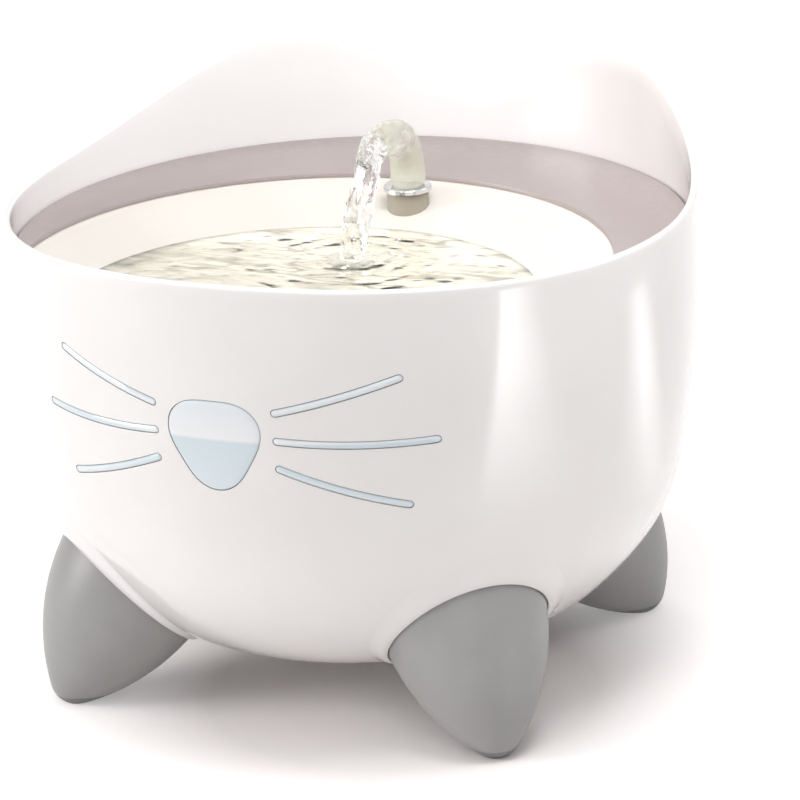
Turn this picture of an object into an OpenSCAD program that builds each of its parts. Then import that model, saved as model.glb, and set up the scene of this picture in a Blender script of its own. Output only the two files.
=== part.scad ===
// Pet water fountain: a cat-eared bowl on four hooded feet, with a lift-off
// drinking dish, a filter basket under the dish and a small pump in the water.
// Millimetres, +Z up. The face looks along -Y and the floor is at Z = 0.

/* [Bowl] */
// Outer radius of the bowl at its rim
bowl_r = 125; // [118:1:135]
// Wall thickness of the bowl
wall = 3; // [2.4:0.1:3.6]
// Height of the bowl's flat bottom above the floor
bottom_z = 23; // [18:1:26]
// Height at which the wall of the bowl becomes upright
upright_z = 160; // [156:1:164]
// Radius of the long curve of the bowl's flank
flank_r = 474; // [400:1:600]
// Radius of the short curve of the bowl's belly
belly_r = 78.6; // [76:0.1:84]
// Slope of the wall, off upright, where flank and belly meet
belly_slope = 9.7; // [9:0.1:11]

/* [Rim and ears] */
// Height of the rim above the face
front_z = 178.4; // [176:0.1:185]
// Height of the rim's lowest place at each side
dip_z = 173; // [171:0.1:176]
// Height of the ears
ear_z = 201.5; // [190:0.1:215]
// Height of the rim between the ears
saddle_z = 174.7; // [172:0.1:185]
// Angle from the face to the lowest place of the rim
dip_a = 75; // [60:1:85]
// Angle from the face to the tip of an ear
ear_a = 146; // [135:1:155]

/* [Feet] */
// Angle from the face to the front feet
front_foot_a = 45; // [40:1:55]
// Angle from the face to the rear feet
rear_foot_a = 125; // [118:1:135]
// Distance of a front foot's tip in from the rim
front_foot_in = 10; // [7:1:15]
// Distance of a rear foot's tip in from the rim
rear_foot_in = 22; // [15:1:25]
// Lean of a foot away from upright
foot_lean = 35; // [30:1:38]
// Largest radius of a foot
foot_r = 30; // [28:0.5:32]
// Length of a foot from the centre of its tip to its widest place
foot_len = 49; // [46:0.5:52]
// Radius of a foot's round tip
foot_tip_r = 9.5; // [9:0.5:10.5]
// Thickness of the rubber pad under a foot
pad_h = 3.5; // [3:0.1:4.5]
// Radius of the flat face that a pad stands on
pad_flat_r = 4.6; // [3:0.1:5.5]
// Thickness of the raised lip round a foot
hood_t = 2.4; // [2:0.1:3.5]
// Height of that lip above the bowl's belly
hood_h = 1.6; // [1:0.1:2.5]

/* [Foot screws] */
// Radius of a foot screw
screw_r = 1.5; // [1.2:0.1:2]
// Radius of a foot screw's head
screw_head_r = 2.5; // [2.3:0.1:2.8]
// Height of a foot screw's head
screw_head_h = 2.2; // [1.5:0.1:3]
// Distance from the tip's centre to the seat of the screw head
screw_seat = 6; // [5:0.5:7]
// Length of a foot screw's shank
screw_len = 17; // [14:0.5:18]
// Outer radius of the bowl's screw boss
boss_r = 4.5; // [3.8:0.1:6]
// Distance from the tip's centre to the end of the boss
boss_start = 12.5; // [11:0.5:14]

/* [Face] */
// Mean radius of the nose window
nose_r = 16.7; // [12:0.1:20]
// Height of the nose window's centre
nose_z = 122.2; // [116:0.1:128]
// How far the nose is from round, as a share of its radius
nose_point = 0.1; // [0:0.01:0.13]
// Width of a whisker
whisker_w = 3; // [2.4:0.1:4]
// Distance of the whiskers' inner ends from the middle of the face
whisker_in_x = 22.7; // [22:0.1:26]
// Distance of the upper and lower whiskers' outer ends from the middle
whisker_out_x = 62.5; // [50:0.5:70]
// Distance of the middle whiskers' outer ends from the middle
whisker_mid_x = 72.2; // [60:0.5:78]
// Height between neighbouring whiskers at their inner ends
whisker_gap = 10.3; // [8:0.1:12]
// Rise of the upper whiskers, and fall of the lower ones, towards their outer ends
whisker_rise = 13; // [6:0.5:16]
// Radius of a whisker's bend
whisker_bend = 400; // [200:5:600]
// How far a whisker stands out of the bowl
whisker_proud = 0.3; // [0.1:0.1:0.6]
// Width of the flange behind each window
flange_w = 2.2; // [1.5:0.1:3]
// Thickness of the flange behind each window
flange_t = 1.4; // [1:0.1:2]
// Thickness of the seal behind the nose window
seal_t = 1; // [0.8:0.1:2]

/* [Dish] */
// Height of the bowl's ledge that carries the dish
ledge_z = 155; // [152:0.5:157]
// Width of the ledge
ledge_w = 4.6; // [3:0.1:6]
// Thickness of the dish's flange
dish_flange = 3.4; // [2.5:0.1:4]
// Wall thickness of the dish
dish_wall = 2.4; // [1.8:0.1:3]
// Distance of the basin's lip radius in from the rim's
basin_in = 19; // [15:0.5:25]
// Distance of the basin's lip from the bowl's axis, towards the face
basin_shift = 36; // [32:0.5:40]
// Distance that the basin's bottom lies further towards the face
basin_drift = 29; // [20:0.5:32]
// Depth of the basin
basin_depth = 18.4; // [15:0.1:20]
// Radius of the basin's flat bottom
basin_flat_r = 30; // [27:0.5:34]
// Thickness of the deck round the back of the dish
deck_t = 1.6; // [1:0.1:3]
// Radius of the overflow opening
drain_r = 19.5; // [15:0.5:21]
// Distance of the overflow's centre in from the rim over the face
drain_in = 55; // [51:0.5:57]
// Height of the overflow's lip above the basin's bottom
drain_h = 9.1; // [5:0.1:12]

/* [Spout] */
// Distance of the spout in from the back edge of the bowl's flat floor
spout_in = 23; // [21:0.5:27]
// Inner radius of the spout
spout_bore = 5.2; // [4.6:0.1:5.4]
// Outer radius of the spout
spout_r = 7.8; // [7:0.1:8.5]
// Height of the spout's mouth
spout_z = 160; // [158:0.5:164]
// Outer radius of the metal ring at the spout's mouth
ring_r = 8.9; // [8.6:0.1:10]
// Height of the metal ring
ring_h = 1.8; // [1.2:0.1:3]

/* [Filter] */
// Outer radius of the filter basket
basket_r = 45; // [42:0.5:47]
// Distance of the basket's centre in from the rim over the face
basket_in = 73; // [71:0.5:75]
// Height of the basket's bottom
basket_z = 98; // [92:0.5:102]
// Height of the basket
basket_h = 34; // [30:0.5:36]
// Wall thickness of the basket
basket_wall = 2; // [1.5:0.1:2.5]
// Depth that the dish's skirt covers the basket
skirt_lap = 12; // [8:0.5:16]
// Height of the filter cartridge
cartridge_h = 22; // [18:0.5:24]

/* [Pump] */
// Width of the pump
pump_w = 40; // [38:1:42]
// Height of the pump's housing
pump_h = 34; // [33:0.5:38]
// Depth of the pump's housing behind its intake cover
pump_d = 28; // [27:0.5:29]
// Height of the suction cups
cup_h = 4; // [3:0.5:6]
// Radius of the impeller chamber
chamber_r = 13; // [12:0.1:13.5]
// Depth of the impeller chamber
chamber_d = 10; // [9.5:0.1:11]
// Number of impeller blades
blades = 6; // [4:1:8]
// Radius of the rotor magnet
magnet_r = 6; // [5:0.1:6.3]
// Radius of the ceramic shaft
shaft_r = 1.25; // [1:0.05:1.4]
// Inner radius of the pump's outlet
outlet_bore = 4; // [3:0.1:4.2]
// Outer radius of the pump's outlet
outlet_r = 5.4; // [5.2:0.1:5.4]
// Height of the outlet pipe above the housing
outlet_h = 13; // [10:0.5:16]

/* [Cable gland] */
// Height of the cable gland on the back of the bowl
gland_z = 138; // [134:0.5:140]
// Radius of the hole through the grommet
gland_bore = 2.1; // [1.5:0.1:3]
// Radius of the grommet's neck
gland_neck = 5.4; // [4.5:0.1:6]
// Radius of the grommet's flanges
gland_r = 8; // [7.5:0.1:9]

/* [Clearances] */
// Gap between pieces that are fixed together
seat_gap = 0.1; // [0.05:0.01:0.2]
// Gap round pieces that lift out
lift_gap = 0.4; // [0.3:0.05:0.5]
// Radial clearance of the impeller on its shaft
run_gap = 0.05; // [0.03:0.01:0.08]

/* [Hidden] */
$fn = 64;

// Overlap of a cut beyond the face that it cuts
cut = 1;
// Centres of the flank's and the belly's curves in the wall's section
flank_c = [bowl_r - flank_r, upright_z];
belly_c = flank_c + (flank_r - belly_r) * [cos(belly_slope), -sin(belly_slope)];
meet_far = belly_c + 2 * bowl_r * [cos(belly_slope), -sin(belly_slope)];
floor_z = bottom_z + wall;
floor_r = belly_c[0] + sqrt(pow(belly_r - wall, 2) - pow(belly_c[1] - floor_z, 2));
top_z = ear_z + 20;

// Places that follow the bowl's size
front_foot_r = bowl_r - front_foot_in;
rear_foot_r = bowl_r - rear_foot_in;
basin_r = bowl_r - basin_in;
drain_y = bowl_r - drain_in;
spout_y = floor_r - spout_in;
basket_y = bowl_r - basket_in;

// Foot: ogive whose side curve runs into the round tip
ogive_r = (pow(foot_len, 2) / (foot_r - foot_tip_r) + foot_r + foot_tip_r) / 2;
foot_tip_z = sqrt(pow(foot_tip_r, 2) - pow(pad_flat_r, 2));
FEET = [[-front_foot_a, front_foot_r], [front_foot_a, front_foot_r],
    [-rear_foot_a, rear_foot_r], [rear_foot_a, rear_foot_r]];

// Ledge and dish
ledge_r = bowl_r - wall - ledge_w;
dish_r = bowl_r - wall - lift_gap;
dish_body_r = ledge_r - lift_gap;
lip_z = ledge_z + dish_flange;
basin_low = lip_z - basin_depth;
deck_edge = seat_gap;
under_gap = 0.3;
grille_t = 1.6;
grille_z = basin_low + drain_h - 2 * grille_t;
grille_pitch = drain_r / 4;
skirt_z = basket_z + basket_h - skirt_lap;

// Outlet and riser
riser_bore = outlet_r + lift_gap;
riser_r = spout_r - lift_gap;

// Spout
spigot_r = riser_bore - seat_gap;
nozzle_step_z = ledge_z - 2 * spout_r;
nozzle_low = nozzle_step_z - 2 * spout_r;

// Filter cartridge
frame_r = basket_r - basket_wall - under_gap;
media_z = basket_z + 2 * basket_wall + seat_gap;
media_h = cartridge_h - 2 * basket_wall - 2 * seat_gap;

// Pump, from its front to its back along Y
pump_front = spout_y - chamber_d / 2;
pump_back = pump_front + pump_d;
pump_low = floor_z + cup_h;
pump_edge = 5;
cup_r = 5;
rear_t = 2;
pocket_y = pump_front + chamber_d + 1.5;
axle_z = pump_low + pump_h / 2 - 1;
can_t = 1;
can_r = magnet_r + 0.6;
can_end = pump_back - rear_t - can_t - seat_gap;

// Rotor and its bushes
sleeve_r = shaft_r + 1;
hub_r = shaft_r + 2.4;
bush_r = shaft_r + 1.3;
bush_len = 3;
blade_r = chamber_r - 1.5;
spoke_w = 1.6;
plug_t = 1.2;
blade_y = pump_front + plug_t + 0.6;
magnet_y = pump_front + chamber_d;
magnet_len = can_end - bush_len - 0.6 - magnet_y;

// Stator
core_y = pocket_y + 3;
core_d = can_end - core_y - 3;
yoke_half = can_r + can_t + 0.4;
pole_w = 5;
yoke_z = pump_h / 2 - 1 - rear_t - 2.2;
yoke_h = 2.6;
coil_t = 2.4;

// Intake cover and foam
cover_t = 3;
cover_y = pump_front - cover_t;
cover_w = pump_w - 2;
cover_low = pump_low + 1;
cover_h = axle_z + chamber_r + 1 - cover_low;
foam_d = 9;
intake_r = chamber_r / 2;

// Lamp on the pump
led_r = 3.2;
led_wall = 1.3;
led_len = 7;
led_x = pump_w / 4 + 2;
led_z = pump_low + pump_h + 1;

// Lower end of the riser, above the pump
riser_low = pump_low + pump_h + 2;

// Cable gland
gland_out_y = flank_at(gland_z, 0) - 2.2;
gland_in_y = gland_out_y - wall - 1;
gland_flange = 1.6;

// ---------------------------------------------------------------- shared forms

// Height of the rim at an angle from the face
function rim_z(a) =
    a < dip_a ? front_z - (front_z - dip_z) * pow(sin(90 * a / dip_a), 2)
    : a < ear_a ? dip_z + (ear_z - dip_z) * pow(sin(90 * pow((a - dip_a) / (ear_a - dip_a), 1.7)), 2)
    : saddle_z + (ear_z - saddle_z) * pow(sin(90 * (180 - a) / (180 - ear_a)), 1.3);

// Radius of the wall at a height on the flank, t inside its outer face
function flank_at(z, t) = flank_c[0] + sqrt(pow(flank_r - t, 2) - pow(z - flank_c[1], 2));

// Solid section of the bowl, t inside its outer face, above a height
module bowl_section(t, low) {
    intersection() {
        union() {
            translate([0, upright_z])
                square([bowl_r - t, top_z - upright_z]);
            intersection() {
                translate(flank_c)
                    circle(r = flank_r - t);
                polygon([[0, upright_z], [2 * bowl_r, upright_z], meet_far, belly_c, [0, belly_c[1]]]);
            }
            intersection() {
                translate(belly_c)
                    circle(r = belly_r - t);
                polygon([[0, belly_c[1]], belly_c, meet_far, [meet_far[0], 0], [0, 0]]);
            }
            translate([0, low])
                square([belly_c[0], belly_c[1] - low]);
        }
        translate([0, low])
            square([2 * bowl_r, top_z - low]);
    }
}

// Half length of a slot at a place on a round plate, i places off its middle of four
function slot_half(i, r) = 0.85 * sqrt(pow(r, 2) - pow(r * (abs(i) + 0.3) / 4, 2)) - 1;

module bowl_form(t, low) {
    rotate_extrude()
        bowl_section(t, low);
}

// Everything above the wavy rim, as one ring whose underside rounds the rim's edges
module rim_cutter() {
    steps = 120;
    round_r = 0.62 * wall;
    middle = bowl_r - wall / 2;
    section = concat([for (t = [-75 : 25 : 75]) [middle + round_r * sin(t), -round_r * (1 - cos(t)), 0]],
        [[bowl_r + cut, -round_r, 0], [bowl_r + cut, top_z + cut, 1],
            [bowl_r - wall - cut, top_z + cut, 1], [bowl_r - wall - cut, -round_r, 0]]);
    count = len(section);
    points = [for (i = [0 : steps - 1]) let (a = 360 * i / steps, z = rim_z(a > 180 ? 360 - a : a))
        for (p = section) [p[0] * sin(a), -p[0] * cos(a), p[2] * p[1] + (1 - p[2]) * (z + p[1])]];
    faces = [for (i = [0 : steps - 1]) let (n = (i + 1) % steps)
        for (k = [0 : count - 1]) let (m = (k + 1) % count)
            for (f = [[count * i + k, count * i + m, count * n + m],
                [count * i + k, count * n + m, count * n + k]]) f];
    polyhedron(points, faces, convexity = 8);
}

// A foot's own frame: origin at the centre of its tip, +Z up its leaning axis
module at_foot(foot) {
    rotate([0, 0, foot[0] - 90])
        translate([foot[1], 0, foot_tip_z])
            rotate([0, -foot_lean, 0])
                children();
}

// Teardrop form of a foot, bigger by grow on all sides: round tip, long side
// curve, round top
module foot_form(grow) {
    side_a = atan2(foot_len, ogive_r - foot_r);
    tip = [for (i = [0 : 4]) let (a = 90 - i * (90 - side_a) / 5) (foot_tip_r + grow) * [cos(a), -sin(a)]];
    side = [for (i = [0 : 12]) let (a = side_a * (1 - i / 12))
        [foot_r - ogive_r, foot_len] + (ogive_r + grow) * [cos(a), -sin(a)]];
    top = [for (a = [6 : 6 : 90]) [0, foot_len] + (foot_r + grow) * [cos(a), sin(a)]];
    rotate([0, 0, 180])
        rotate_extrude()
            polygon(concat(tip, side, top));
}

// The bowl's belly and bottom, a little larger, as the feet meet them
module belly_form(grow) {
    low = bottom_z - grow;
    low_a = asin((belly_c[1] - low) / (belly_r + grow));
    rotate_extrude()
        polygon(concat([[0, low]],
            [for (i = [0 : 16]) let (a = low_a * (1 - i / 16)) belly_c + (belly_r + grow) * [cos(a), -sin(a)]],
            [[0, belly_c[1]]]));
}

// Cylinder along +Y from one place to another
module bar_y(r, from, to) {
    translate([0, from, 0])
        rotate([-90, 0, 0])
            cylinder(r = r, h = to - from);
}

// Block with rounded upright edges
module rounded_block(size, r) {
    linear_extrude(size[2])
        union() {
            translate([-size[0] / 2 + r, 0])
                square([size[0] - 2 * r, size[1]]);
            translate([-size[0] / 2, r])
                square([size[0], size[1] - 2 * r]);
            for (x = [-1, 1], y = [r, size[1] - r])
                translate([x * (size[0] / 2 - r), y])
                    circle(r = r);
        }
}

// ------------------------------------------------------- windows in the face

// Soft triangle of the nose, wider by grow
module nose_outline(grow) {
    steps = 60;
    polygon([for (i = [0 : steps - 1]) let (a = 360 * i / steps)
        (nose_r * (1 + nose_point * cos(3 * (a + 90))) + grow) * [cos(a), sin(a)] + [0, nose_z]]);
}

// One whisker as a bent bar with round ends. row: 1 upper, 0 middle, -1 lower. side: 1 or -1
module whisker_outline(row, side, grow) {
    from = [whisker_in_x, nose_z + whisker_w / 2 + row * whisker_gap];
    to = [row == 0 ? whisker_mid_x : whisker_out_x, from[1] + row * whisker_rise - whisker_w / 2];
    half = (to - from) / 2;
    up = [-half[1], half[0]] / norm(half);
    centre = (from + to) / 2 + sqrt(pow(whisker_bend, 2) - pow(norm(half), 2)) * up;
    start_a = atan2(from[1] - centre[1], from[0] - centre[0]);
    end_a = atan2(to[1] - centre[1], to[0] - centre[0]);
    w = whisker_w / 2 + grow;
    below = [for (i = [0 : 8]) let (a = start_a + (end_a - start_a) * i / 8)
        centre + (whisker_bend + w) * [cos(a), sin(a)]];
    outer_end = [for (t = [20 : 20 : 160]) to + w * [cos(end_a + t), sin(end_a + t)]];
    above = [for (i = [8 : -1 : 0]) let (a = start_a + (end_a - start_a) * i / 8)
        centre + (whisker_bend - w) * [cos(a), sin(a)]];
    inner_end = [for (t = [200 : 20 : 340]) from + w * [cos(start_a + t), sin(start_a + t)]];
    mirror([side < 0 ? 1 : 0, 0, 0])
        polygon(concat(below, outer_end, above, inner_end));
}

// Prism of an outline through the front wall
module through_face() {
    translate([0, -bowl_r / 2, 0])
        rotate([90, 0, 0])
            linear_extrude(bowl_r)
                children();
}

// Skin of the flank between two depths from its outer face, in low rings
module bowl_layer(from, to) {
    step = (upright_z - nose_z) / 5;
    heights = [for (i = [-5 : 4]) nose_z + i * step];
    rotate_extrude()
        polygon(concat([for (z = heights) [flank_at(z, from), z]],
            [for (i = [len(heights) - 1 : -1 : 0]) [flank_at(heights[i], to), heights[i]]]));
}

// A window: a plug in its opening and a flange behind the wall
module whisker_lens(row, side) {
    color("lightsteelblue") {
        intersection() {
            through_face()
                whisker_outline(row, side, -seat_gap);
            bowl_layer(-whisker_proud, wall + seat_gap + 0.2);
        }
        intersection() {
            through_face()
                whisker_outline(row, side, flange_w / 2);
            bowl_layer(wall + seat_gap, wall + seat_gap + flange_t);
        }
    }
}

module nose_window() {
    color("lightblue") {
        intersection() {
            through_face()
                nose_outline(-seat_gap);
            bowl_layer(0, wall + seal_t + 3 * seat_gap);
        }
        intersection() {
            through_face()
                nose_outline(flange_w + seat_gap);
            bowl_layer(wall + seal_t + 2 * seat_gap, wall + seal_t + 2 * seat_gap + flange_t);
        }
    }
}

module nose_seal() {
    color("gainsboro")
        intersection() {
            through_face()
                difference() {
                    nose_outline(flange_w + seat_gap);
                    nose_outline(0);
                }
            bowl_layer(wall + seat_gap, wall + seal_t + seat_gap);
        }
}

// ------------------------------------------------------------------ bowl

// Raised lip that follows the belly round a foot
module hood(foot) {
    intersection() {
        at_foot(foot)
            difference() {
                foot_form(lift_gap + hood_t);
                foot_form(lift_gap);
            }
        belly_form(hood_h);
    }
}

module bowl_shell() {
    color("white")
        difference() {
            union() {
                difference() {
                    union() {
                        bowl_form(0, bottom_z);
                        for (foot = FEET) {
                            hood(foot);
                            at_foot(foot)
                                translate([0, 0, boss_start])
                                    cylinder(r = boss_r, h = foot_len - boss_start);
                        }
                    }
                    bowl_form(wall, floor_z);
                }
                // ledge that carries the dish
                rotate_extrude()
                    polygon([[ledge_r, ledge_z], [bowl_r - wall / 2, ledge_z],
                        [bowl_r - wall / 2, ledge_z - 2 * ledge_w], [ledge_r, ledge_z - ledge_w / 2]]);
                // thick place round the cable gland
                intersection() {
                    translate([0, 0, gland_z])
                        bar_y(gland_r + wall, gland_in_y, bowl_r);
                    bowl_form(wall / 4, floor_z);
                }
            }
            rim_cutter();
            through_face()
                nose_outline(0);
            for (row = [-1 : 1], side = [-1, 1])
                through_face()
                    whisker_outline(row, side, 0);
            for (foot = FEET)
                at_foot(foot)
                    translate([0, 0, boss_start - cut])
                        cylinder(r = screw_r + run_gap, h = screw_seat + screw_len + 1 - boss_start + cut);
            translate([0, 0, gland_z]) {
                bar_y(gland_r + lift_gap / 2, gland_out_y, bowl_r + cut);
                bar_y(gland_neck + seat_gap, gland_in_y - cut, bowl_r);
            }
        }
}

module cable_grommet() {
    color("dimgray")
        translate([0, 0, gland_z])
            difference() {
                union() {
                    bar_y(gland_r, gland_out_y, gland_out_y + gland_flange);
                    bar_y(gland_neck, gland_in_y - gland_flange, gland_out_y + gland_flange);
                    bar_y(gland_r - 1, gland_in_y - gland_flange, gland_in_y);
                }
                bar_y(gland_bore, gland_in_y - gland_flange - cut, gland_out_y + gland_flange + cut);
            }
}

// ------------------------------------------------------------------ feet

module foot(place) {
    color("darkgray")
        difference() {
            at_foot(place)
                foot_form(0);
            translate([-2 * bowl_r, -2 * bowl_r, pad_h - 2 * bowl_r])
                cube([4 * bowl_r, 4 * bowl_r, 2 * bowl_r]);
            belly_form(2 * seat_gap);
            at_foot(place) {
                translate([0, 0, -2 * foot_tip_r])
                    cylinder(r = screw_head_r + lift_gap, h = 2 * foot_tip_r + screw_seat);
                cylinder(r = screw_r + lift_gap, h = foot_len);
                translate([0, 0, boss_start - lift_gap])
                    cylinder(r = boss_r + lift_gap / 2, h = foot_len);
            }
        }
}

module foot_pads() {
    color("dimgray")
        for (foot = FEET)
            intersection() {
                at_foot(foot)
                    foot_form(0);
                translate([-2 * bowl_r, -2 * bowl_r, 0])
                    cube([4 * bowl_r, 4 * bowl_r, pad_h]);
            }
}

module foot_screws() {
    color("silver")
        for (foot = FEET)
            at_foot(foot)
                difference() {
                    union() {
                        translate([0, 0, screw_seat - screw_head_h])
                            cylinder(r = screw_head_r, h = screw_head_h);
                        translate([0, 0, screw_seat - screw_head_h])
                            cylinder(r = screw_r, h = screw_head_h + screw_len);
                    }
                    for (turn = [0, 90])
                        rotate([0, 0, turn])
                            translate([-screw_r, -screw_r / 5, screw_seat - screw_head_h - cut])
                                cube([2 * screw_r, 0.4 * screw_r, screw_head_h / 2 + cut]);
                }
}

// ------------------------------------------------------------------ dish

// The basin's hollow: circles that shrink and drift towards the face on their
// way down. Bigger by grow on all sides, and open upwards to a height.
module basin_form(grow, top) {
    levels = [0, 0.12, 0.28, 0.46, 0.64, 0.82, 1];
    steps = 48;
    rings = concat([[basin_r + grow, -basin_shift, top]],
        [for (w = levels) [basin_flat_r + (basin_r - basin_flat_r) * sqrt(1 - w) + grow,
            -basin_shift - basin_drift * w, lip_z - basin_depth * w - grow]]);
    last = len(rings) - 1;
    points = [for (ring = rings) for (i = [0 : steps - 1]) let (a = 360 * i / steps)
        [ring[0] * cos(a), ring[1] + ring[0] * sin(a), ring[2]]];
    sides = [for (k = [0 : last - 1]) for (i = [0 : steps - 1]) let (n = (i + 1) % steps)
        for (f = [[k * steps + i, k * steps + n, (k + 1) * steps + n],
            [k * steps + i, (k + 1) * steps + n, (k + 1) * steps + i]]) f];
    polyhedron(points, concat(sides, [[for (i = [steps - 1 : -1 : 0]) i]],
        [[for (i = [0 : steps - 1]) last * steps + i]]), convexity = 4);
}

// Stack of the dish's parts round the overflow and under the basin
module dish() {
    color("ivory") {
        difference() {
            union() {
                translate([0, 0, ledge_z])
                    cylinder(r = dish_r, h = dish_flange);
                intersection() {
                    basin_form(dish_wall, lip_z - cut / 2);
                    translate([0, 0, basin_low - 2 * dish_wall])
                        cylinder(r = dish_body_r, h = basin_depth + dish_wall);
                }
                // skirt round the top of the filter basket
                translate([0, -basket_y, skirt_z])
                    cylinder(r = basket_r + under_gap + dish_wall, h = ledge_z - skirt_z);
                // collar that holds the spout
                translate([0, spout_y, ledge_z - 2 * spout_r])
                    cylinder(r = spout_r + dish_wall, h = 2 * spout_r);
            }
            intersection() {
                basin_form(0, lip_z + cut);
                translate([0, 0, basin_low - cut])
                    cylinder(r = dish_body_r - dish_wall, h = basin_depth + 3 * cut);
            }
            difference() {
                translate([0, -basket_y, skirt_z - cut])
                    cylinder(r = basket_r + under_gap, h = ledge_z - skirt_z);
                basin_form(dish_wall, lip_z);
            }
            translate([0, -drain_y, basin_low - 2 * dish_wall])
                cylinder(r = drain_r - dish_wall / 2, h = 3 * dish_wall);
            translate([0, spout_y, ledge_z - 2 * spout_r - cut])
                cylinder(r = spout_r + seat_gap, h = 3 * spout_r);
        }
        // raised lip of the overflow, with a step for its grille
        difference() {
            translate([0, -drain_y, basin_low - dish_wall])
                cylinder(r = drain_r + dish_wall / 2, h = drain_h + dish_wall);
            translate([0, -drain_y, basin_low - dish_wall - cut])
                cylinder(r = drain_r - dish_wall / 2, h = drain_h + 2 * dish_wall);
            translate([0, -drain_y, grille_z])
                cylinder(r = drain_r, h = drain_h);
        }
    }
}

module drain_grille() {
    r = drain_r - seat_gap;
    color("whitesmoke")
        translate([0, -drain_y, grille_z])
            difference() {
                cylinder(r = r, h = grille_t);
                for (i = [-3 : 3])
                    translate([i * grille_pitch - grille_pitch / 4, -slot_half(i, r), -cut])
                        cube([grille_pitch / 2, 2 * slot_half(i, r), grille_t + 2 * cut]);
            }
}

// Crescent that covers the flange of the dish behind the basin
module dish_deck() {
    color([0.8, 0.76, 0.75])
        difference() {
            translate([0, 0, lip_z])
                cylinder(r = dish_r - deck_edge, h = deck_t);
            translate([0, -basin_shift, lip_z - cut])
                cylinder(r = basin_r + deck_edge, h = deck_t + 2 * cut);
        }
}

module spout_nozzle() {
    color("beige")
        translate([0, spout_y, 0])
            rotate_extrude()
                polygon([[spout_bore, spout_z], [spout_r, spout_z], [spout_r, nozzle_step_z],
                    [spigot_r, nozzle_step_z], [spigot_r, nozzle_low], [spout_bore - 1, nozzle_low],
                    [spout_bore - 1, nozzle_step_z], [spout_bore, nozzle_step_z + 1]]);
}

// Round-edged metal ring, seated on the spout's mouth
module spout_ring() {
    color("silver")
        translate([0, spout_y, spout_z])
            rotate_extrude()
                union() {
                    translate([spout_bore + ring_h / 2, 0])
                        square([ring_r - spout_bore - ring_h, ring_h]);
                    for (x = [spout_bore + ring_h / 2, ring_r - ring_h / 2])
                        translate([x, ring_h / 2])
                            circle(r = ring_h / 2);
                }
}

module riser_tube() {
    color("gainsboro")
        translate([0, spout_y, riser_low])
            difference() {
                cylinder(r = riser_r, h = nozzle_step_z - riser_low);
                translate([0, 0, -cut])
                    cylinder(r = riser_bore, h = nozzle_step_z - riser_low + 2 * cut);
            }
}

// ------------------------------------------------------------------ filter

module filter_basket() {
    inner = basket_r - basket_wall;
    color("white")
        translate([0, -basket_y, basket_z])
            difference() {
                cylinder(r = basket_r, h = basket_h);
                translate([0, 0, basket_wall])
                    cylinder(r = inner, h = basket_h);
                for (i = [-3 : 3])
                    translate([i * inner / 4 - inner / 16, -slot_half(i, inner), -cut])
                        cube([inner / 8, 2 * slot_half(i, inner), basket_wall + 2 * cut]);
            }
}

// Open ring with spokes above and below the filter media
module filter_frame() {
    bar = basket_wall * 0.75;
    color("lightgray")
        translate([0, -basket_y, basket_z + basket_wall])
            union() {
                difference() {
                    cylinder(r = frame_r, h = cartridge_h);
                    translate([0, 0, -cut])
                        cylinder(r = frame_r - basket_wall, h = cartridge_h + 2 * cut);
                }
                for (z = [0, cartridge_h - bar], turn = [0 : 60 : 120])
                    rotate([0, 0, turn])
                        translate([-frame_r + basket_wall / 2, -bar / 2, z])
                            cube([2 * frame_r - basket_wall, bar, bar]);
            }
}

module filter_pad() {
    color("white")
        translate([0, -basket_y, media_z])
            cylinder(r = frame_r - basket_wall - under_gap, h = media_h * 0.45);
}

module carbon_bed() {
    color([0.2, 0.2, 0.2])
        translate([0, -basket_y, media_z + media_h * 0.45])
            cylinder(r = frame_r - basket_wall - under_gap, h = media_h * 0.55 - seat_gap);
}

// ------------------------------------------------------------------ pump

module pump_housing() {
    color([0.25, 0.26, 0.28])
        difference() {
            union() {
                difference() {
                    translate([0, pump_front, pump_low])
                        rounded_block([pump_w, pump_d, pump_h], pump_edge);
                    // motor pocket, open at the back
                    translate([-pump_w / 2 + 2 * rear_t, pocket_y, pump_low + rear_t])
                        cube([pump_w - 4 * rear_t, pump_d, pump_h - 2 * rear_t]);
                }
                translate([0, 0, axle_z])
                    bar_y(can_r + can_t, pocket_y - cut, can_end + can_t);
                translate([0, spout_y, pump_low + pump_h - cut])
                    cylinder(r = outlet_r, h = outlet_h + cut);
                translate([led_x, 0, led_z])
                    bar_y(led_r + led_wall, pump_front, pump_front + led_len + led_wall);
            }
            translate([0, 0, axle_z]) {
                bar_y(chamber_r, pump_front - cut, pump_front + chamber_d);
                bar_y(can_r, pump_front, can_end);
            }
            translate([0, spout_y, axle_z + chamber_r - outlet_bore])
                cylinder(r = outlet_bore, h = pump_h + outlet_h);
            translate([led_x, 0, led_z])
                bar_y(led_r + seat_gap, pump_front - cut, pump_front + led_len);
        }
}

module pump_rear_cover() {
    color([0.3, 0.31, 0.33])
        translate([-pump_w / 2 + 2 * rear_t + seat_gap, pump_back - rear_t, pump_low + rear_t + seat_gap])
            cube([pump_w - 4 * rear_t - 2 * seat_gap, rear_t, pump_h - 2 * rear_t - 2 * seat_gap]);
}

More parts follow.
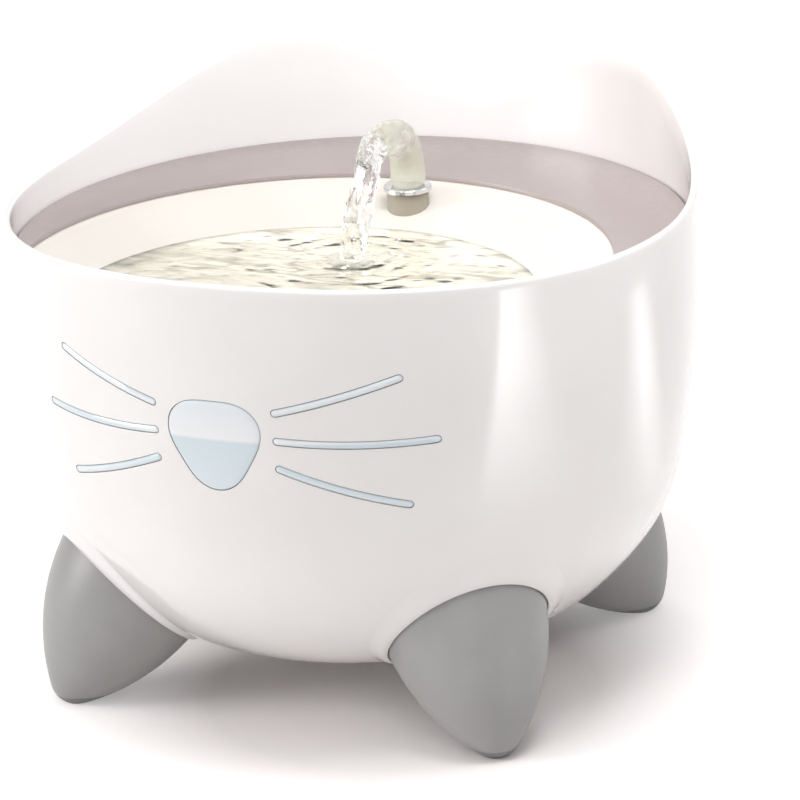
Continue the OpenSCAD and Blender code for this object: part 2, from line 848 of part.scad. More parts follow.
// Slotted cover of the impeller chamber, with a box in front for the foam
module pump_intake_cover() {
    cover_hub_r = bush_r + rear_t / 2;
    color([0.3, 0.31, 0.33])
        union() {
            difference() {
                translate([-cover_w / 2, cover_y - foam_d * 0.7, cover_low])
                    cube([cover_w, cover_t + foam_d * 0.7, cover_h]);
                translate([-cover_w / 2 + rear_t, cover_y - foam_d, cover_low + rear_t])
                    cube([cover_w - 2 * rear_t, foam_d, cover_h - 2 * rear_t]);
                translate([0, 0, axle_z])
                    bar_y(intake_r, cover_y - foam_d, pump_front + cut);
            }
            translate([0, 0, axle_z]) {
                difference() {
                    bar_y(chamber_r - seat_gap, pump_front - cut, pump_front + plug_t);
                    bar_y(chamber_r - rear_t, pump_front - 2 * cut, pump_front + plug_t + cut);
                }
                difference() {
                    union() {
                        bar_y(cover_hub_r, cover_y, pump_front + plug_t);
                        for (turn = [90 : 120 : 330])
                            rotate([0, turn, 0])
                                translate([0, cover_y, -spoke_w / 2])
                                    cube([intake_r + cut, cover_t, spoke_w]);
                    }
                    bar_y(bush_r + seat_gap / 2, cover_y - cut, pump_front + plug_t + cut);
                }
            }
        }
}

module prefilter_foam() {
    color([0.15, 0.15, 0.16])
        translate([-cover_w / 2 + rear_t + under_gap, cover_y - foam_d - seat_gap, cover_low + rear_t + under_gap])
            cube([cover_w - 2 * rear_t - 2 * under_gap, foam_d, cover_h - 2 * rear_t - 2 * under_gap]);
}

// Hub with a back plate, straight blades and a sleeve for the magnet
module impeller() {
    color("white")
        translate([0, 0, axle_z])
            difference() {
                union() {
                    bar_y(hub_r, blade_y, pump_front + chamber_d - 0.5);
                    bar_y(blade_r, pump_front + chamber_d - 2, pump_front + chamber_d - 0.5);
                    bar_y(sleeve_r, blade_y, magnet_y + magnet_len);
                    for (i = [0 : blades - 1])
                        rotate([0, 360 * i / blades, 0])
                            translate([sleeve_r, blade_y, -spoke_w / 2])
                                cube([blade_r - sleeve_r, chamber_d - 2 - (blade_y - pump_front) + cut / 2, spoke_w]);
                }
                bar_y(shaft_r + run_gap, pump_front, pump_back);
            }
}

module rotor_magnet() {
    color([0.2, 0.2, 0.22])
        translate([0, 0, axle_z])
            difference() {
                bar_y(magnet_r, magnet_y, magnet_y + magnet_len);
                bar_y(sleeve_r + seat_gap / 2, magnet_y - cut, magnet_y + magnet_len + cut);
            }
}

module rotor_shaft() {
    color("ivory")
        translate([0, 0, axle_z])
            bar_y(shaft_r, cover_y + 1, can_end - 0.5);
}

module bush(from, to, r) {
    color([0.12, 0.12, 0.12])
        translate([0, 0, axle_z])
            difference() {
                bar_y(r, from, to);
                bar_y(shaft_r + run_gap, from - cut, to + cut);
            }
}

module shaft_bush_front() {
    bush(cover_y, pump_front + plug_t, bush_r);
}

module shaft_bush_rear() {
    bush(can_end - bush_len, can_end, can_r - seat_gap / 2);
}

// Two poles round the rotor's can, joined by a yoke below it
module stator_core() {
    color([0.45, 0.46, 0.48])
        difference() {
            translate([0, core_y, axle_z])
                union() {
                    for (side = [0, 1])
                        mirror([side, 0, 0])
                            translate([yoke_half, 0, -yoke_z])
                                cube([pole_w, core_d, yoke_z + can_r + can_t]);
                    translate([-yoke_half - pole_w, 0, -yoke_z])
                        cube([2 * (yoke_half + pole_w), core_d, yoke_h]);
                }
            translate([0, 0, axle_z])
                bar_y(can_r + can_t + seat_gap, core_y - cut, core_y + core_d + cut);
        }
}

module stator_coil() {
    side = yoke_half - 2 * seat_gap;
    color([0.72, 0.45, 0.2])
        translate([0, 0, axle_z])
            difference() {
                translate([-side, core_y - coil_t, -yoke_z - coil_t / 2])
                    cube([2 * side, core_d + 2 * coil_t, yoke_h + coil_t]);
                translate([-side - cut, core_y - seat_gap, -yoke_z - seat_gap])
                    cube([2 * side + 2 * cut, core_d + 2 * seat_gap, yoke_h + 2 * seat_gap]);
            }
}

module suction_cups() {
    color([0.85, 0.87, 0.88])
        for (x = [-1, 1], y = [pump_front + cup_r + 2, pump_back - cup_r - 2])
            translate([x * (pump_w / 2 - cup_r - 3), y, floor_z])
                rotate_extrude()
                    polygon([[0, cup_h], [cup_r / 2, cup_h], [cup_r / 2, cup_h / 2], [cup_r, 0],
                        [cup_r - 1, 0], [0, cup_h / 4]]);
}

module led_board() {
    color("seagreen")
        translate([led_x, 0, led_z])
            bar_y(led_r, pump_front + led_len - 1.2, pump_front + led_len);
}

module led_lens() {
    color("lightcyan")
        translate([led_x, 0, led_z])
            union() {
                bar_y(led_r, pump_front, pump_front + led_len - 1.2 - seat_gap);
                translate([0, pump_front, 0])
                    sphere(r = led_r);
            }
}

// ------------------------------------------------------------------ nodes

bowl_shell();
nose_window();
nose_seal();
whisker_lens(1, -1);  // whisker_left_upper
whisker_lens(0, -1);  // whisker_left_middle
whisker_lens(-1, -1);  // whisker_left_lower
whisker_lens(1, 1);  // whisker_right_upper
whisker_lens(0, 1);  // whisker_right_middle
whisker_lens(-1, 1);  // whisker_right_lower
foot(FEET[0]);  // foot_front_left
foot(FEET[1]);  // foot_front_right
foot(FEET[2]);  // foot_rear_left
foot(FEET[3]);  // foot_rear_right
foot_pads();
foot_screws();
cable_grommet();
dish();
dish_deck();
drain_grille();
spout_nozzle();
spout_ring();
riser_tube();
filter_basket();
filter_frame();
filter_pad();
carbon_bed();
pump_housing();
pump_rear_cover();
pump_intake_cover();
prefilter_foam();
impeller();
rotor_magnet();
rotor_shaft();
shaft_bush_front();
shaft_bush_rear();
stator_core();
stator_coil();
suction_cups();
led_board();
led_lens();
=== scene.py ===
"""Pet water fountain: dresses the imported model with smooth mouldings, clear
windows, running water and finishes, and sets up a plain studio round it."""
import math

import bmesh
import bpy
from mathutils import Matrix, Vector, noise


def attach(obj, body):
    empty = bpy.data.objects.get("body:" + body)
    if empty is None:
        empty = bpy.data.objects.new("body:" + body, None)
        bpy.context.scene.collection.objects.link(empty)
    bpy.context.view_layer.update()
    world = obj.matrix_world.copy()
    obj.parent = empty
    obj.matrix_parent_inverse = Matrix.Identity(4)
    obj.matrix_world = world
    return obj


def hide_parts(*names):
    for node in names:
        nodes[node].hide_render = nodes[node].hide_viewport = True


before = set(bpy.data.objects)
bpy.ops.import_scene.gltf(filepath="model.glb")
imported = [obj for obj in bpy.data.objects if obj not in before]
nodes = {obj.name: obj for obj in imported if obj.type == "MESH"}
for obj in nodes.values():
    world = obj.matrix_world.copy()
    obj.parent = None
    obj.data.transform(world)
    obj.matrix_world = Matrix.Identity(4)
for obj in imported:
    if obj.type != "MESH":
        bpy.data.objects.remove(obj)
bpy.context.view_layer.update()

# Sizes in millimetres, as in the part. Bowl: rim, long flank, round belly, ledge
RIM_R, WALL, RIM_ROUND, UPRIGHT_Z = 125.0, 3.0, 1.5, 160.0
FLANK_R, BELLY_R, SLOPE = 474.0, 78.6, math.radians(9.7)
FLANK_H, FLANK_IN_H = 80, 65
BOTTOM_Z, FLOOR_Z = 23.0, 26.0
LEDGE_Z, LEDGE_R, LEDGE_W, LEDGE_FOOT_Z = 155.0, 117.4, 4.6, 145.8
FLANK_X = RIM_R - FLANK_R
BELLY_X = FLANK_X + (FLANK_R - BELLY_R) * math.cos(SLOPE)
BELLY_Z = UPRIGHT_Z - (FLANK_R - BELLY_R) * math.sin(SLOPE)
BELLY_TOP_Z = BELLY_Z - BELLY_R * math.sin(SLOPE)
# Feet: leaning teardrops cut to the belly, and the lip round each
FOOT_R, FOOT_LEN, FOOT_TIP_R, FOOT_LEAN, PAD_FLAT_R, PAD_H = 30.0, 49.0, 9.5, 35.0, 4.6, 3.5
OGIVE_R = (FOOT_LEN ** 2 / (FOOT_R - FOOT_TIP_R) + FOOT_R + FOOT_TIP_R) / 2
FOOT_GAP, LIP_GAP, LIP_H, LIP_CREST = 0.2, 0.4, 1.6, 1.7
# Face, and the stepped hole for the cable in the back
NOSE_Z, NOSE_R, NOSE_POINTS = 122.2, 16.7, 96
WHISKER_BEND_R, WHISKER_HALF_W = 400, 1.5
GLAND_Z, GLAND_R, GLAND_STEP_R, GLAND_STEP_Y = 138.0, 5.52, 8.2, 122.29
# Dish: its outside, the basin that drifts forwards as it deepens, and the deck
DISH_R, DISH_BODY_R, DISH_IN_R, LIP_Z = 121.6, 117.0, 114.6, 158.4
BASIN_R, BASIN_FLAT_R, BASIN_Y, BASIN_DRIFT, BASIN_DEPTH = 106.0, 30.0, -36.0, 29.0, 18.4
DISH_WALL, DECK_Z = 2.4, 160
DRAIN_Y, SKIRT_Y, SPOUT_Y = -70.0, -52, 52.03
WATER_Z, SPLASH_Y = 149.6, -2


# -------- materials

def tone(code):
    """Linear colour of an sRGB hex value."""
    parts = [int(code[i:i + 2], 16) / 255 for i in (0, 2, 4)]
    return [p / 12.92 if p <= 0.04045 else ((p + 0.055) / 1.055) ** 2.4 for p in parts] + [1.0]


def add(owner, kind, inputs=(), out=0, **settings):
    """Adds one node with its settings to a material, world, lamp or tree: a shader
    node, unless kind names another sort. Of its inputs, a socket is linked, a hex
    value is made a colour and the rest is set as it is. Gives the output out. Map
    Range maps input 0 from 1 and 2 to 3 and 4; Mix has its factor at 0, colours at 6, 7."""
    tree = getattr(owner, "node_tree", owner)
    made = tree.nodes.new(kind if "Node" in kind else "ShaderNode" + kind)
    for key, value in settings.items():
        setattr(made, key, value)
    for key, value in dict(inputs).items():
        if isinstance(value, bpy.types.NodeSocket):
            tree.links.new(value, made.inputs[key])
        else:
            made.inputs[key].default_value = tone(value) if isinstance(value, str) else value
    return made.outputs[out] if len(made.outputs) else None


def finish(name):
    """A new material with an empty tree."""
    material = bpy.data.materials.new(name)
    material.use_nodes = True
    material.node_tree.nodes.clear()
    return material


def grain(m, size_mm, detail=3.0, stretch=(1, 1, 1), **more):
    """Noise whose patches are about size_mm across, in the piece's own place."""
    spot = add(m, "TexCoord", out="Object")
    spot = add(m, "Mapping", {"Vector": spot, "Scale": stretch})
    return add(m, "TexNoise", {"Vector": spot, "Scale": 1000.0 / size_mm, "Detail": detail, **more}, "Fac")


def graded(m, value, low, high, first, second):
    """Colour that turns from the first to the second as a value goes from low to high."""
    share = add(m, "MapRange", {0: value, 1: low, 2: high})
    return add(m, "Mix", {0: share, 6: first, 7: second}, 2, data_type="RGBA")


def skinned(m, tint, height, lift, look, invert=False):
    """Ends a material with a surface of one tint, lifted by a height, in metres."""
    bumps = add(m, "Bump", {"Strength": 1.0, "Distance": lift, "Height": height}, invert=invert)
    shader = add(m, "BsdfPrincipled", {**look, "Base Color": tint, "Normal": bumps})
    add(m, "OutputMaterial", {"Surface": shader})
    return m


def moulded(name, colour, shade, rough, peel_mm, peel, cloud_mm, coat=0.0, metal=0.0,
            stretch=(1, 1, 1), inner=None):
    """Moulded or rolled surface: even colour with faint clouding, and a fine skin
    whose waves break up the reflections. inner is the pair of colours of a thin wall's
    inside, marked on the mesh: painted light on the left and painted shade on the right."""
    m = finish(name)
    tint = graded(m, grain(m, cloud_mm), 0.3, 0.7, colour, shade)
    # Painted light and shade across the inside of the wall: lighter on the left, darker on the right
    if inner:
        inside = add(m, "Attribute", out="Fac", attribute_name="inside")
        spot = add(m, "TexCoord", out="Object")
        both = graded(m, add(m, "SeparateXYZ", {0: spot}, "X"), -0.02, 0.075, *inner)
        tint = add(m, "Mix", {0: inside, 6: tint, 7: both}, 2, data_type="RGBA")
    peeled = grain(m, peel_mm, 2.0, stretch)
    dull = add(m, "MapRange", {0: peeled, 1: 0.2, 2: 0.8, 3: rough * 0.85, 4: rough * 1.15})
    look = {"Metallic": metal} if metal else {"IOR": 1.49, "Coat Weight": coat, "Coat Roughness": 0.06}
    return skinned(m, tint, peeled, peel * 0.001, {**look, "Roughness": dull})


# Colour and its cloudy shade, roughness, wave and height of the skin, size of the clouds.
# Gloss white ABS: near-white, mirror-like, slightly wavy; its inside has painted light on the left and
# painted shade on the right
bowl_abs = moulded("gloss_white_abs", "F1F0EF", "EDEBEA", 0.16, 5.0, 0.006, 60.0, coat=0.8,
                   inner=("FEFDFD", "E9E6E5"))
# Polypropylene dish: warm white, soft gloss
dish_pp = moulded("warm_white_polypropylene", "E8E3DC", "E4DED6", 0.22, 4.0, 0.008, 50.0)
# Polypropylene deck: satin, in a taupe that is painted shade and reflection on the back of the dish
deck_shade_pp = moulded("taupe_polypropylene_painted_shade", "AA9E9D", "A49897", 0.34, 3.0, 0.0012, 60.0)
# Fine-blasted polypropylene feet: dull grey with a broad soft sheen
foot_pp = moulded("satin_grey_polypropylene", "A3A3A2", "999999", 0.4, 0.9, 0.014, 40.0)
# Rubber pads and cable ring: matt, faintly mottled
pad_rubber = moulded("grey_tpe_rubber", "8E8F8E", "858685", 0.7, 0.8, 0.03, 10.0)
grommet_rubber = moulded("black_grommet_rubber", "2A2A2C", "222224", 0.6, 0.8, 0.03, 8.0)
# Silicone seal: cool grey, smooth but not glossy
seal_silicone = moulded("clear_grey_silicone", "CDD2D6", "C3C9CE", 0.45, 1.0, 0.01, 10.0)
# Polished polypropylene nozzle: olive-ivory and glossy
ivory_pp = moulded("ivory_polypropylene_spout", "ABA394", "9D9585", 0.2, 3.0, 0.006, 12.0)
# Polypropylene grille: white, half gloss
grille_pp = moulded("white_polypropylene_grille", "F1F0EE", "E8E6E3", 0.3, 1.5, 0.01, 15.0)
# Extruded silicone riser: milky, with long soft highlights
tube_silicone = moulded("milky_silicone_tube", "D9DCDE", "CFD3D6", 0.35, 2.0, 0.01, 20.0)
# Polypropylene basket and frame: satin white and grey
basket_pp = moulded("white_polypropylene_basket", "EBEBE8", "E2E2DF", 0.36, 1.2, 0.012, 25.0)
frame_pp = moulded("grey_polypropylene_frame", "C9C9C9", "BFBFBF", 0.4, 1.2, 0.012, 20.0)
# Spark-textured ABS pump: dull charcoal
pump_abs = moulded("charcoal_abs_pump", "3A3C40", "333539", 0.38, 0.8, 0.015, 18.0)
# Acetal impeller: slippery off-white
impeller_abs = moulded("white_acetal_impeller", "E9E9E7", "DFDFDD", 0.32, 1.0, 0.008, 8.0)
# Ground alumina shaft: creamy with a hard polish
ceramic = moulded("ground_alumina_ceramic", "EDEBE4", "E4E1D9", 0.12, 0.5, 0.002, 5.0)
# Sintered ferrite magnet: dark grey and faintly gritty
ferrite = moulded("sintered_ferrite_magnet", "2B2B2D", "242426", 0.55, 0.4, 0.02, 4.0)
# Nitrile rubber bushes: black and matt
bush_nbr = moulded("nitrile_rubber_bush", "1E1E1F", "181819", 0.6, 0.6, 0.02, 4.0)
# Silicone cups: greyish with a wet gloss
cup_silicone = moulded("translucent_silicone_cups", "C9CDCF", "BFC4C7", 0.25, 1.0, 0.005, 6.0)
# Solder mask: even green with a lacquered gloss
circuit_board = moulded("green_solder_mask", "1F5A3A", "1A4E32", 0.3, 0.8, 0.004, 3.0)
# Stacked silicon steel: grey metal, finely ribbed
core_steel = moulded("laminated_silicon_steel", "6E7075", "5F6166", 0.4, 0.6, 0.02, 6.0,
                     metal=1.0, stretch=(1, 1, 12))
# Enamelled wire: copper with fine turns
coil_copper = moulded("enamelled_copper_winding", "B5703A", "A3622F", 0.3, 0.5, 0.08, 6.0,
                      metal=1.0, stretch=(1, 8, 1))
# Polished stainless ring: bright mirror; zinc-plated screws: pale dull metal
ring_chrome = moulded("polished_stainless_ring", "DADBDD", "CFD0D3", 0.08, 6.0, 0.002, 10.0, metal=1.0)
screw_steel = moulded("zinc_plated_steel", "B9BABD", "A9ABAF", 0.3, 0.6, 0.008, 3.0, metal=1.0)


def fibrous(name, colour, shade, fibre_mm, depth):
    """Felt or open foam: soft, matt, with fibres or cells drawn a little coarse."""
    m = finish(name)
    spot = add(m, "TexCoord", out="Object")
    cells = add(m, "TexVoronoi", {"Vector": spot, "Scale": 1000.0 / fibre_mm}, "Distance",
                feature="DISTANCE_TO_EDGE")
    tint = graded(m, cells, 0.0, 0.35, shade, colour)
    return skinned(m, tint, cells, depth * 0.001, {"Roughness": 0.95, "Sheen Weight": 0.3}, True)


# Needled felt: soft white with grey hollows. Granules: black and pitted. Foam: dark cells
pad_fibre = fibrous("needled_polyester_felt", "F0F0EC", "C9C9C4", 1.2, 0.3)
carbon = fibrous("activated_carbon_granules", "2A2A2B", "070707", 1.6, 0.9)
foam = fibrous("open_cell_polyurethane_foam", "262628", "0A0A0B", 1.3, 0.5)


def window_plastic():
    """Clear polycarbonate with the lit water behind it painted in: pale blue graded with height below
    the water's level, a painted lighter field above it, and painted shade at its edges."""
    m = finish("clear_blue_polycarbonate")
    spot = add(m, "TexCoord", out="Object")
    height = add(m, "SeparateXYZ", {0: spot}, "Z")
    # Painted light and shade of the water seen through the window, graded with height
    water = graded(m, height, 0.1045, 0.122, "E3EFF5", "D8E8F0")
    air = graded(m, height, 0.1235, 0.134, "F8FBFE", "EEF5FA")
    field = graded(m, height, 0.1222, 0.1234, water, air)
    # Painted shade towards the window's edges, read from the mark on the mesh
    edge = add(m, "Attribute", out="Fac", attribute_name="edge")
    rim = add(m, "Math", {0: edge, 1: 1.6}, operation="POWER")
    tint = add(m, "Mix", {0: rim, 6: field, 7: "8BA0A7"}, 2, data_type="RGBA")
    return skinned(m, tint, grain(m, 7.0, 1.0), 0.00004, {
        "IOR": 1.585, "Roughness": 0.06, "Transmission Weight": 0.08, "Coat Weight": 0.5,
        "Coat Roughness": 0.03})


clear_window = window_plastic()


def painted_fold_shade(m, size_mm, stretch, width, wobble):
    """Painted shade: thin wandering dark lines that stand in for folds of the water bending the light away.
    """
    wave = grain(m, size_mm, 1.5, stretch, Roughness=0.45, Distortion=wobble)
    off = add(m, "Math", {0: wave, 1: 0.5}, operation="SUBTRACT")
    off = add(m, "Math", {0: off}, operation="ABSOLUTE")
    return add(m, "MapRange", {0: off, 1: 0.0, 2: width, 3: 1.0, 4: 0.0},
               interpolation_type="SMOOTHSTEP")


def water_surface(name, stream):
    """Water: clear, with a low index, and painted grey-olive shade in wandering lines and soft
    patches that stands in for the light its folds bend away. The rising stream is full of fine
    air and looks frosted. Lamps shine through it, so that what is under it stays bright."""
    m = finish(name)
    if stream:
        lines, where = painted_fold_shade(m, 9.0, (1, 1, 0.45), 0.03, 0.8), grain(m, 14.0, 1.0)
        shown, plain = {1: 0.35, 2: 0.6, 3: 0.2, 4: 0.95}, "FFFFFF"
        small, lift = grain(m, 3.5, 2.0), 0.0003
    else:
        lines, where = painted_fold_shade(m, 19.0, (0.3, 1.2, 1), 0.05, 1.4), grain(m, 30.0, 1.0, (0.5, 1, 1))
        shown = {1: 0.4, 2: 0.6, 3: 0.15, 4: 0.9}
        # Painted shade: broad soft darker patches on the clear pool
        plain = graded(m, grain(m, 24.0, 2.0, (0.35, 1.2, 1)), 0.38, 0.6, "F6F5F0", "E2E1DB")
        small, lift = grain(m, 7.0, 2.0, (0.5, 1, 1)), 0.00038
    where = add(m, "MapRange", {0: where, **shown})
    drawn = add(m, "Math", {0: lines, 1: where}, operation="MULTIPLY")
    tint = add(m, "Mix", {0: drawn, 6: plain, 7: "ACABA4"}, 2, data_type="RGBA")
    # Painted shade: a darker band along the pool's edge, marked on the mesh
    pool_edge_shade = add(m, "Attribute", out="Fac", attribute_name="pool_edge_shade")
    tint = add(m, "Mix", {0: pool_edge_shade, 6: tint, 7: "8E8F88"}, 2, data_type="RGBA")
    air = add(m, "Attribute", out="Fac", attribute_name="air")
    tint = add(m, "Mix", {0: air, 6: tint, 7: "D2D1C5"}, 2, data_type="RGBA")
    bumps = add(m, "Bump", {"Strength": 1.0, "Distance": lift, "Height": small})
    rough = add(m, "MapRange", {0: air, 3: 0.01, 4: 0.45})
    look = {"IOR": 1.333, "Base Color": tint, "Normal": bumps}
    glass = add(m, "BsdfPrincipled", {**look, "Transmission Weight": 1.0, "Roughness": rough})
    froth = add(m, "BsdfPrincipled", {**look, "Roughness": 0.35})
    frosted = add(m, "MapRange", {0: air, 3: 0.0, 4: 0.7})
    body = add(m, "MixShader", {0: frosted, 1: glass, 2: froth})
    lamp_ray = add(m, "LightPath", out="Is Shadow Ray")
    clear_way = add(m, "BsdfTransparent", {"Color": "F6F6F3"})
    shader = add(m, "MixShader", {0: lamp_ray, 1: body, 2: clear_way})
    add(m, "OutputMaterial", {"Surface": shader})
    return m


pool_water = water_surface("rippled_pool_water", False)
stream_water = water_surface("running_stream_water", True)

# Clear moulded lens over the light: pale blue and half seen through
lens_clear = finish("clear_lamp_lens")
lens_tint = add(lens_clear, "Mix", {0: grain(lens_clear, 2.0), 6: "DCEBF2", 7: "CFE1EA"}, 2,
                data_type="RGBA")
lens_shader = add(lens_clear, "BsdfPrincipled", {
    "IOR": 1.49, "Transmission Weight": 0.6, "Roughness": 0.1, "Base Color": lens_tint})
add(lens_clear, "OutputMaterial", {"Surface": lens_shader})


# -------- mesh helpers

def around(count):
    """Angles of a full turn in even steps."""
    return [2 * math.pi * i / count for i in range(count)]


def skin(rings, wrap=False, start=None, end=None):
    """Points and faces of rings joined one after another. wrap joins the last
    ring to the first; start and end close a side on a single point."""
    n = len(rings[0])
    points = [p for ring in rings for p in ring]
    faces = []
    for k in range(len(rings) if wrap else len(rings) - 1):
        a, b = k * n, ((k + 1) % len(rings)) * n
        faces += [(a + i, a + (i + 1) % n, b + (i + 1) % n, b + i) for i in range(n)]
    for tip, base, turn in ((start, 0, True), (end, (len(rings) - 1) * n, False)):
        if tip is not None:
            points.append(tip)
            for i in range(n):
                j = (i + 1) % n
                faces.append((len(points) - 1, base + j, base + i) if turn
                             else (len(points) - 1, base + i, base + j))
    return points, faces


def put(name, data):
    """A new object in the scene."""
    made = bpy.data.objects.new(name, data)
    bpy.context.scene.collection.objects.link(made)
    return made


def twin(made):
    """A copy of an object with a mesh of its own."""
    other = made.copy()
    other.data = made.data.copy()
    bpy.context.scene.collection.objects.link(other)
    return other


def solid(name, points, faces, outward=True):
    """A mesh object from points in millimetres."""
    mesh = bpy.data.meshes.new(name)
    mesh.from_pydata([(x * 0.001, y * 0.001, z * 0.001) for x, y, z in points], [], faces)
    form = bmesh.new()
    form.from_mesh(mesh)
    bmesh.ops.remove_doubles(form, verts=form.verts, dist=1e-7)
    bmesh.ops.dissolve_degenerate(form, edges=form.edges, dist=1e-7)
    if outward:
        bmesh.ops.recalc_face_normals(form, faces=form.faces)
    form.to_mesh(mesh)
    form.free()
    return put(name, mesh)


def mark(made, name, values):
    """Writes a number on each point of a piece, for its material to read."""
    marks = made.data.attributes.new(name, "FLOAT", "POINT")
    for v, value in zip(made.data.vertices, values):
        marks.data[v.index].value = value


def place(made, material, body, replaces=(), angle=35.0):
    """Gives a finished piece its material, body and the nodes it stands for.
    Edges sharper than angle stay sharp."""
    made.data.materials.clear()
    made.data.materials.append(material)
    made.data.shade_smooth()
    made.data.set_sharp_from_angle(angle=math.radians(angle))
    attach(made, body)
    if replaces:
        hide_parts(*replaces)


def settled(made):
    """Applies an object's modifiers, which leaves a plain mesh."""
    graph = bpy.context.evaluated_depsgraph_get()
    mesh = bpy.data.meshes.new_from_object(made.evaluated_get(graph))
    made.modifiers.clear()
    old = made.data
    made.data = mesh
    bpy.data.meshes.remove(old)


def cut_away(made, cutter):
    step = made.modifiers.new("cut", "BOOLEAN")
    step.operation, step.solver, step.object = "DIFFERENCE", "EXACT", cutter
    settled(made)
    bpy.data.objects.remove(cutter)


def turned(profile, steps=96, centre=(0.0, 0.0), wrap=False, start=None, end=None):
    """Surface of revolution about an upright axis, from (radius, height) pairs."""
    rings = [[(centre[0] + r * math.cos(a), centre[1] + r * math.sin(a), z) for a in around(steps)]
             for r, z in profile]
    return skin(rings, wrap, start, end)


def arc(cx, cz, r, a0, a1, steps):
    """Points (radius, height) along an arc, angles in degrees."""
    angles = [math.radians(a0 + (a1 - a0) * i / steps) for i in range(steps + 1)]
    return [(cx + r * math.cos(a), cz + r * math.sin(a)) for a in angles]


# -------- bowl

def rim_z(angle):
    """Height of the rim at an angle from the face, in degrees: a low front, an ear
    on each side of the back and a dip between them."""
    a = abs((angle + 180) % 360 - 180)
    if a < 75:
        return 178.4 - 5.4 * math.sin(math.radians(90 * a / 75)) ** 2
    if a < 146:
        return 173 + 28.5 * math.sin(math.radians(90 * ((a - 75) / 71) ** 1.7)) ** 2
    return 174.7 + 26.8 * max(math.sin(math.radians(90 * (180 - a) / 34)), 0) ** 1.3


def wall_r(z, depth=0.0):
    """Radius of the bowl's wall at a height, depth inside its outer face."""
    if z >= UPRIGHT_Z:
        return RIM_R - depth
    if z >= BELLY_Z - (BELLY_R - depth) * math.sin(SLOPE):
        return FLANK_X + math.sqrt((FLANK_R - depth) ** 2 - (z - UPRIGHT_Z) ** 2)
    return BELLY_X + math.sqrt(max((BELLY_R - depth) ** 2 - (z - BELLY_Z) ** 2, 0.0))


def belly(r, a):
    """Point (radius, height) on a circle about the belly's centre."""
    return BELLY_X + r * math.cos(a), BELLY_Z - r * math.sin(a)


def through_wall(profile, **ends):
    """A turned form that lies along the cable's way through the back wall."""
    points, faces = turned(profile, 64, **ends)
    return [(x, z, GLAND_Z + y) for x, y, z in points], faces


def make_bowl():
    in_r = BELLY_R - WALL
    low, low_in = math.asin((BELLY_Z - BOTTOM_Z) / BELLY_R), math.asin((BELLY_Z - FLOOR_Z) / in_r)
    flat_r, floor_r = belly(BELLY_R, low)[0], belly(in_r, low_in)[0]
    outer = [(flat_r * k, BOTTOM_Z) for k in (0.2, 0.45, 0.7, 0.88, 0.97)]
    outer += [belly(BELLY_R, low + (SLOPE - low) * i / 24) for i in range(25)]
    outer += [(wall_r(z), z) for z in (BELLY_TOP_Z + FLANK_H * k / 17 for k in range(1, 17))]
    inner = [(LEDGE_R, LEDGE_Z - 0.4), (LEDGE_R, LEDGE_Z - LEDGE_W / 2), (119.6, 149.2),
             (wall_r(LEDGE_FOOT_Z, WALL), LEDGE_FOOT_Z)]
    inner += [(wall_r(z, WALL), z) for z in (LEDGE_FOOT_Z - FLANK_IN_H * k / 10 for k in range(1, 11))]
    inner += [belly(in_r, SLOPE + (low_in - SLOPE) * i / 18) for i in range(1, 19)]
    inner += [(floor_r * k, FLOOR_Z) for k in (0.9, 0.6, 0.3)]

    def ring(row):
        """row gives radius and height from the rim's height at each angle."""
        made = []
        for a in around(288):
            r, z = row(rim_z(math.degrees(a)))
            made.append((r * math.sin(a), -r * math.cos(a), z))
        return made
    rings = [ring(lambda top, p=p: p) for p in outer]
    rings += [ring(lambda top, k=k: (RIM_R, UPRIGHT_Z + (top - RIM_ROUND - UPRIGHT_Z) * k / 8))
              for k in range(9)]
    rings += [ring(lambda top, t=math.pi * k / 9: (
        RIM_R - RIM_ROUND + RIM_ROUND * math.cos(t), top - RIM_ROUND + RIM_ROUND * math.sin(t)))
              for k in range(1, 9)]
    rings += [ring(lambda top, k=k: (
        RIM_R - WALL, top - RIM_ROUND + (LEDGE_Z + 0.6 - top + RIM_ROUND) * k / 8)) for k in range(9)]
    rings += [ring(lambda top, p=p: p) for p in
              [(121.8, LEDGE_Z + 0.2), (121.4, LEDGE_Z), (LEDGE_R + 0.4, LEDGE_Z)] + inner]
    bowl = solid("cat_bowl_shell", *skin(rings, start=(0, 0, BOTTOM_Z), end=(0, 0, FLOOR_Z)))
    cuts = [outline_prism(nose_outline(0))]
    cuts += [outline_prism(whisker_outline(row, side, 0)) for row in (-1, 0, 1) for side in (-1, 1)]
    points, faces = [], []
    for more, joined in cuts:
        faces += [tuple(len(points) + i for i in face) for face in joined]
        points += more
    cut_away(bowl, solid("window_cutters", points, faces))
    drill = [(GLAND_R, 110), (GLAND_R, GLAND_STEP_Y), (GLAND_STEP_R, GLAND_STEP_Y), (GLAND_STEP_R, 140)]
    cut_away(bowl, solid("gland_cutter", *through_wall(drill, start=(0, 0, 110), end=(0, 0, 140))))
    seat = [(5.5, 122.1), (5.5, 118.6), (5.8, 118.3), (10.6, 118.3), (11.0, 118.7), (11.0, 122.1)]
    place(solid("gland_seat", *through_wall(seat, wrap=True)), bowl_abs, "base")
    # Marks the inside of the wall above the ledge, where the painted light and shade go
    mark(bowl, "inside", [float(v.co.z * 1000 > LEDGE_Z and v.co.xy.length * 1000 < RIM_R - WALL + 0.4)
                          for v in bowl.data.vertices])
    place(bowl, bowl_abs, "base", ["bowl_shell"])


def nose_outline(grow):
    """Rounded triangle that points down, bigger by grow."""
    made = []
    for a in around(NOSE_POINTS):
        r = NOSE_R * (1 + 0.1 * math.cos(3 * (a + math.pi / 2))) + grow
        made.append((r * math.cos(a), NOSE_Z + r * math.sin(a)))
    return made


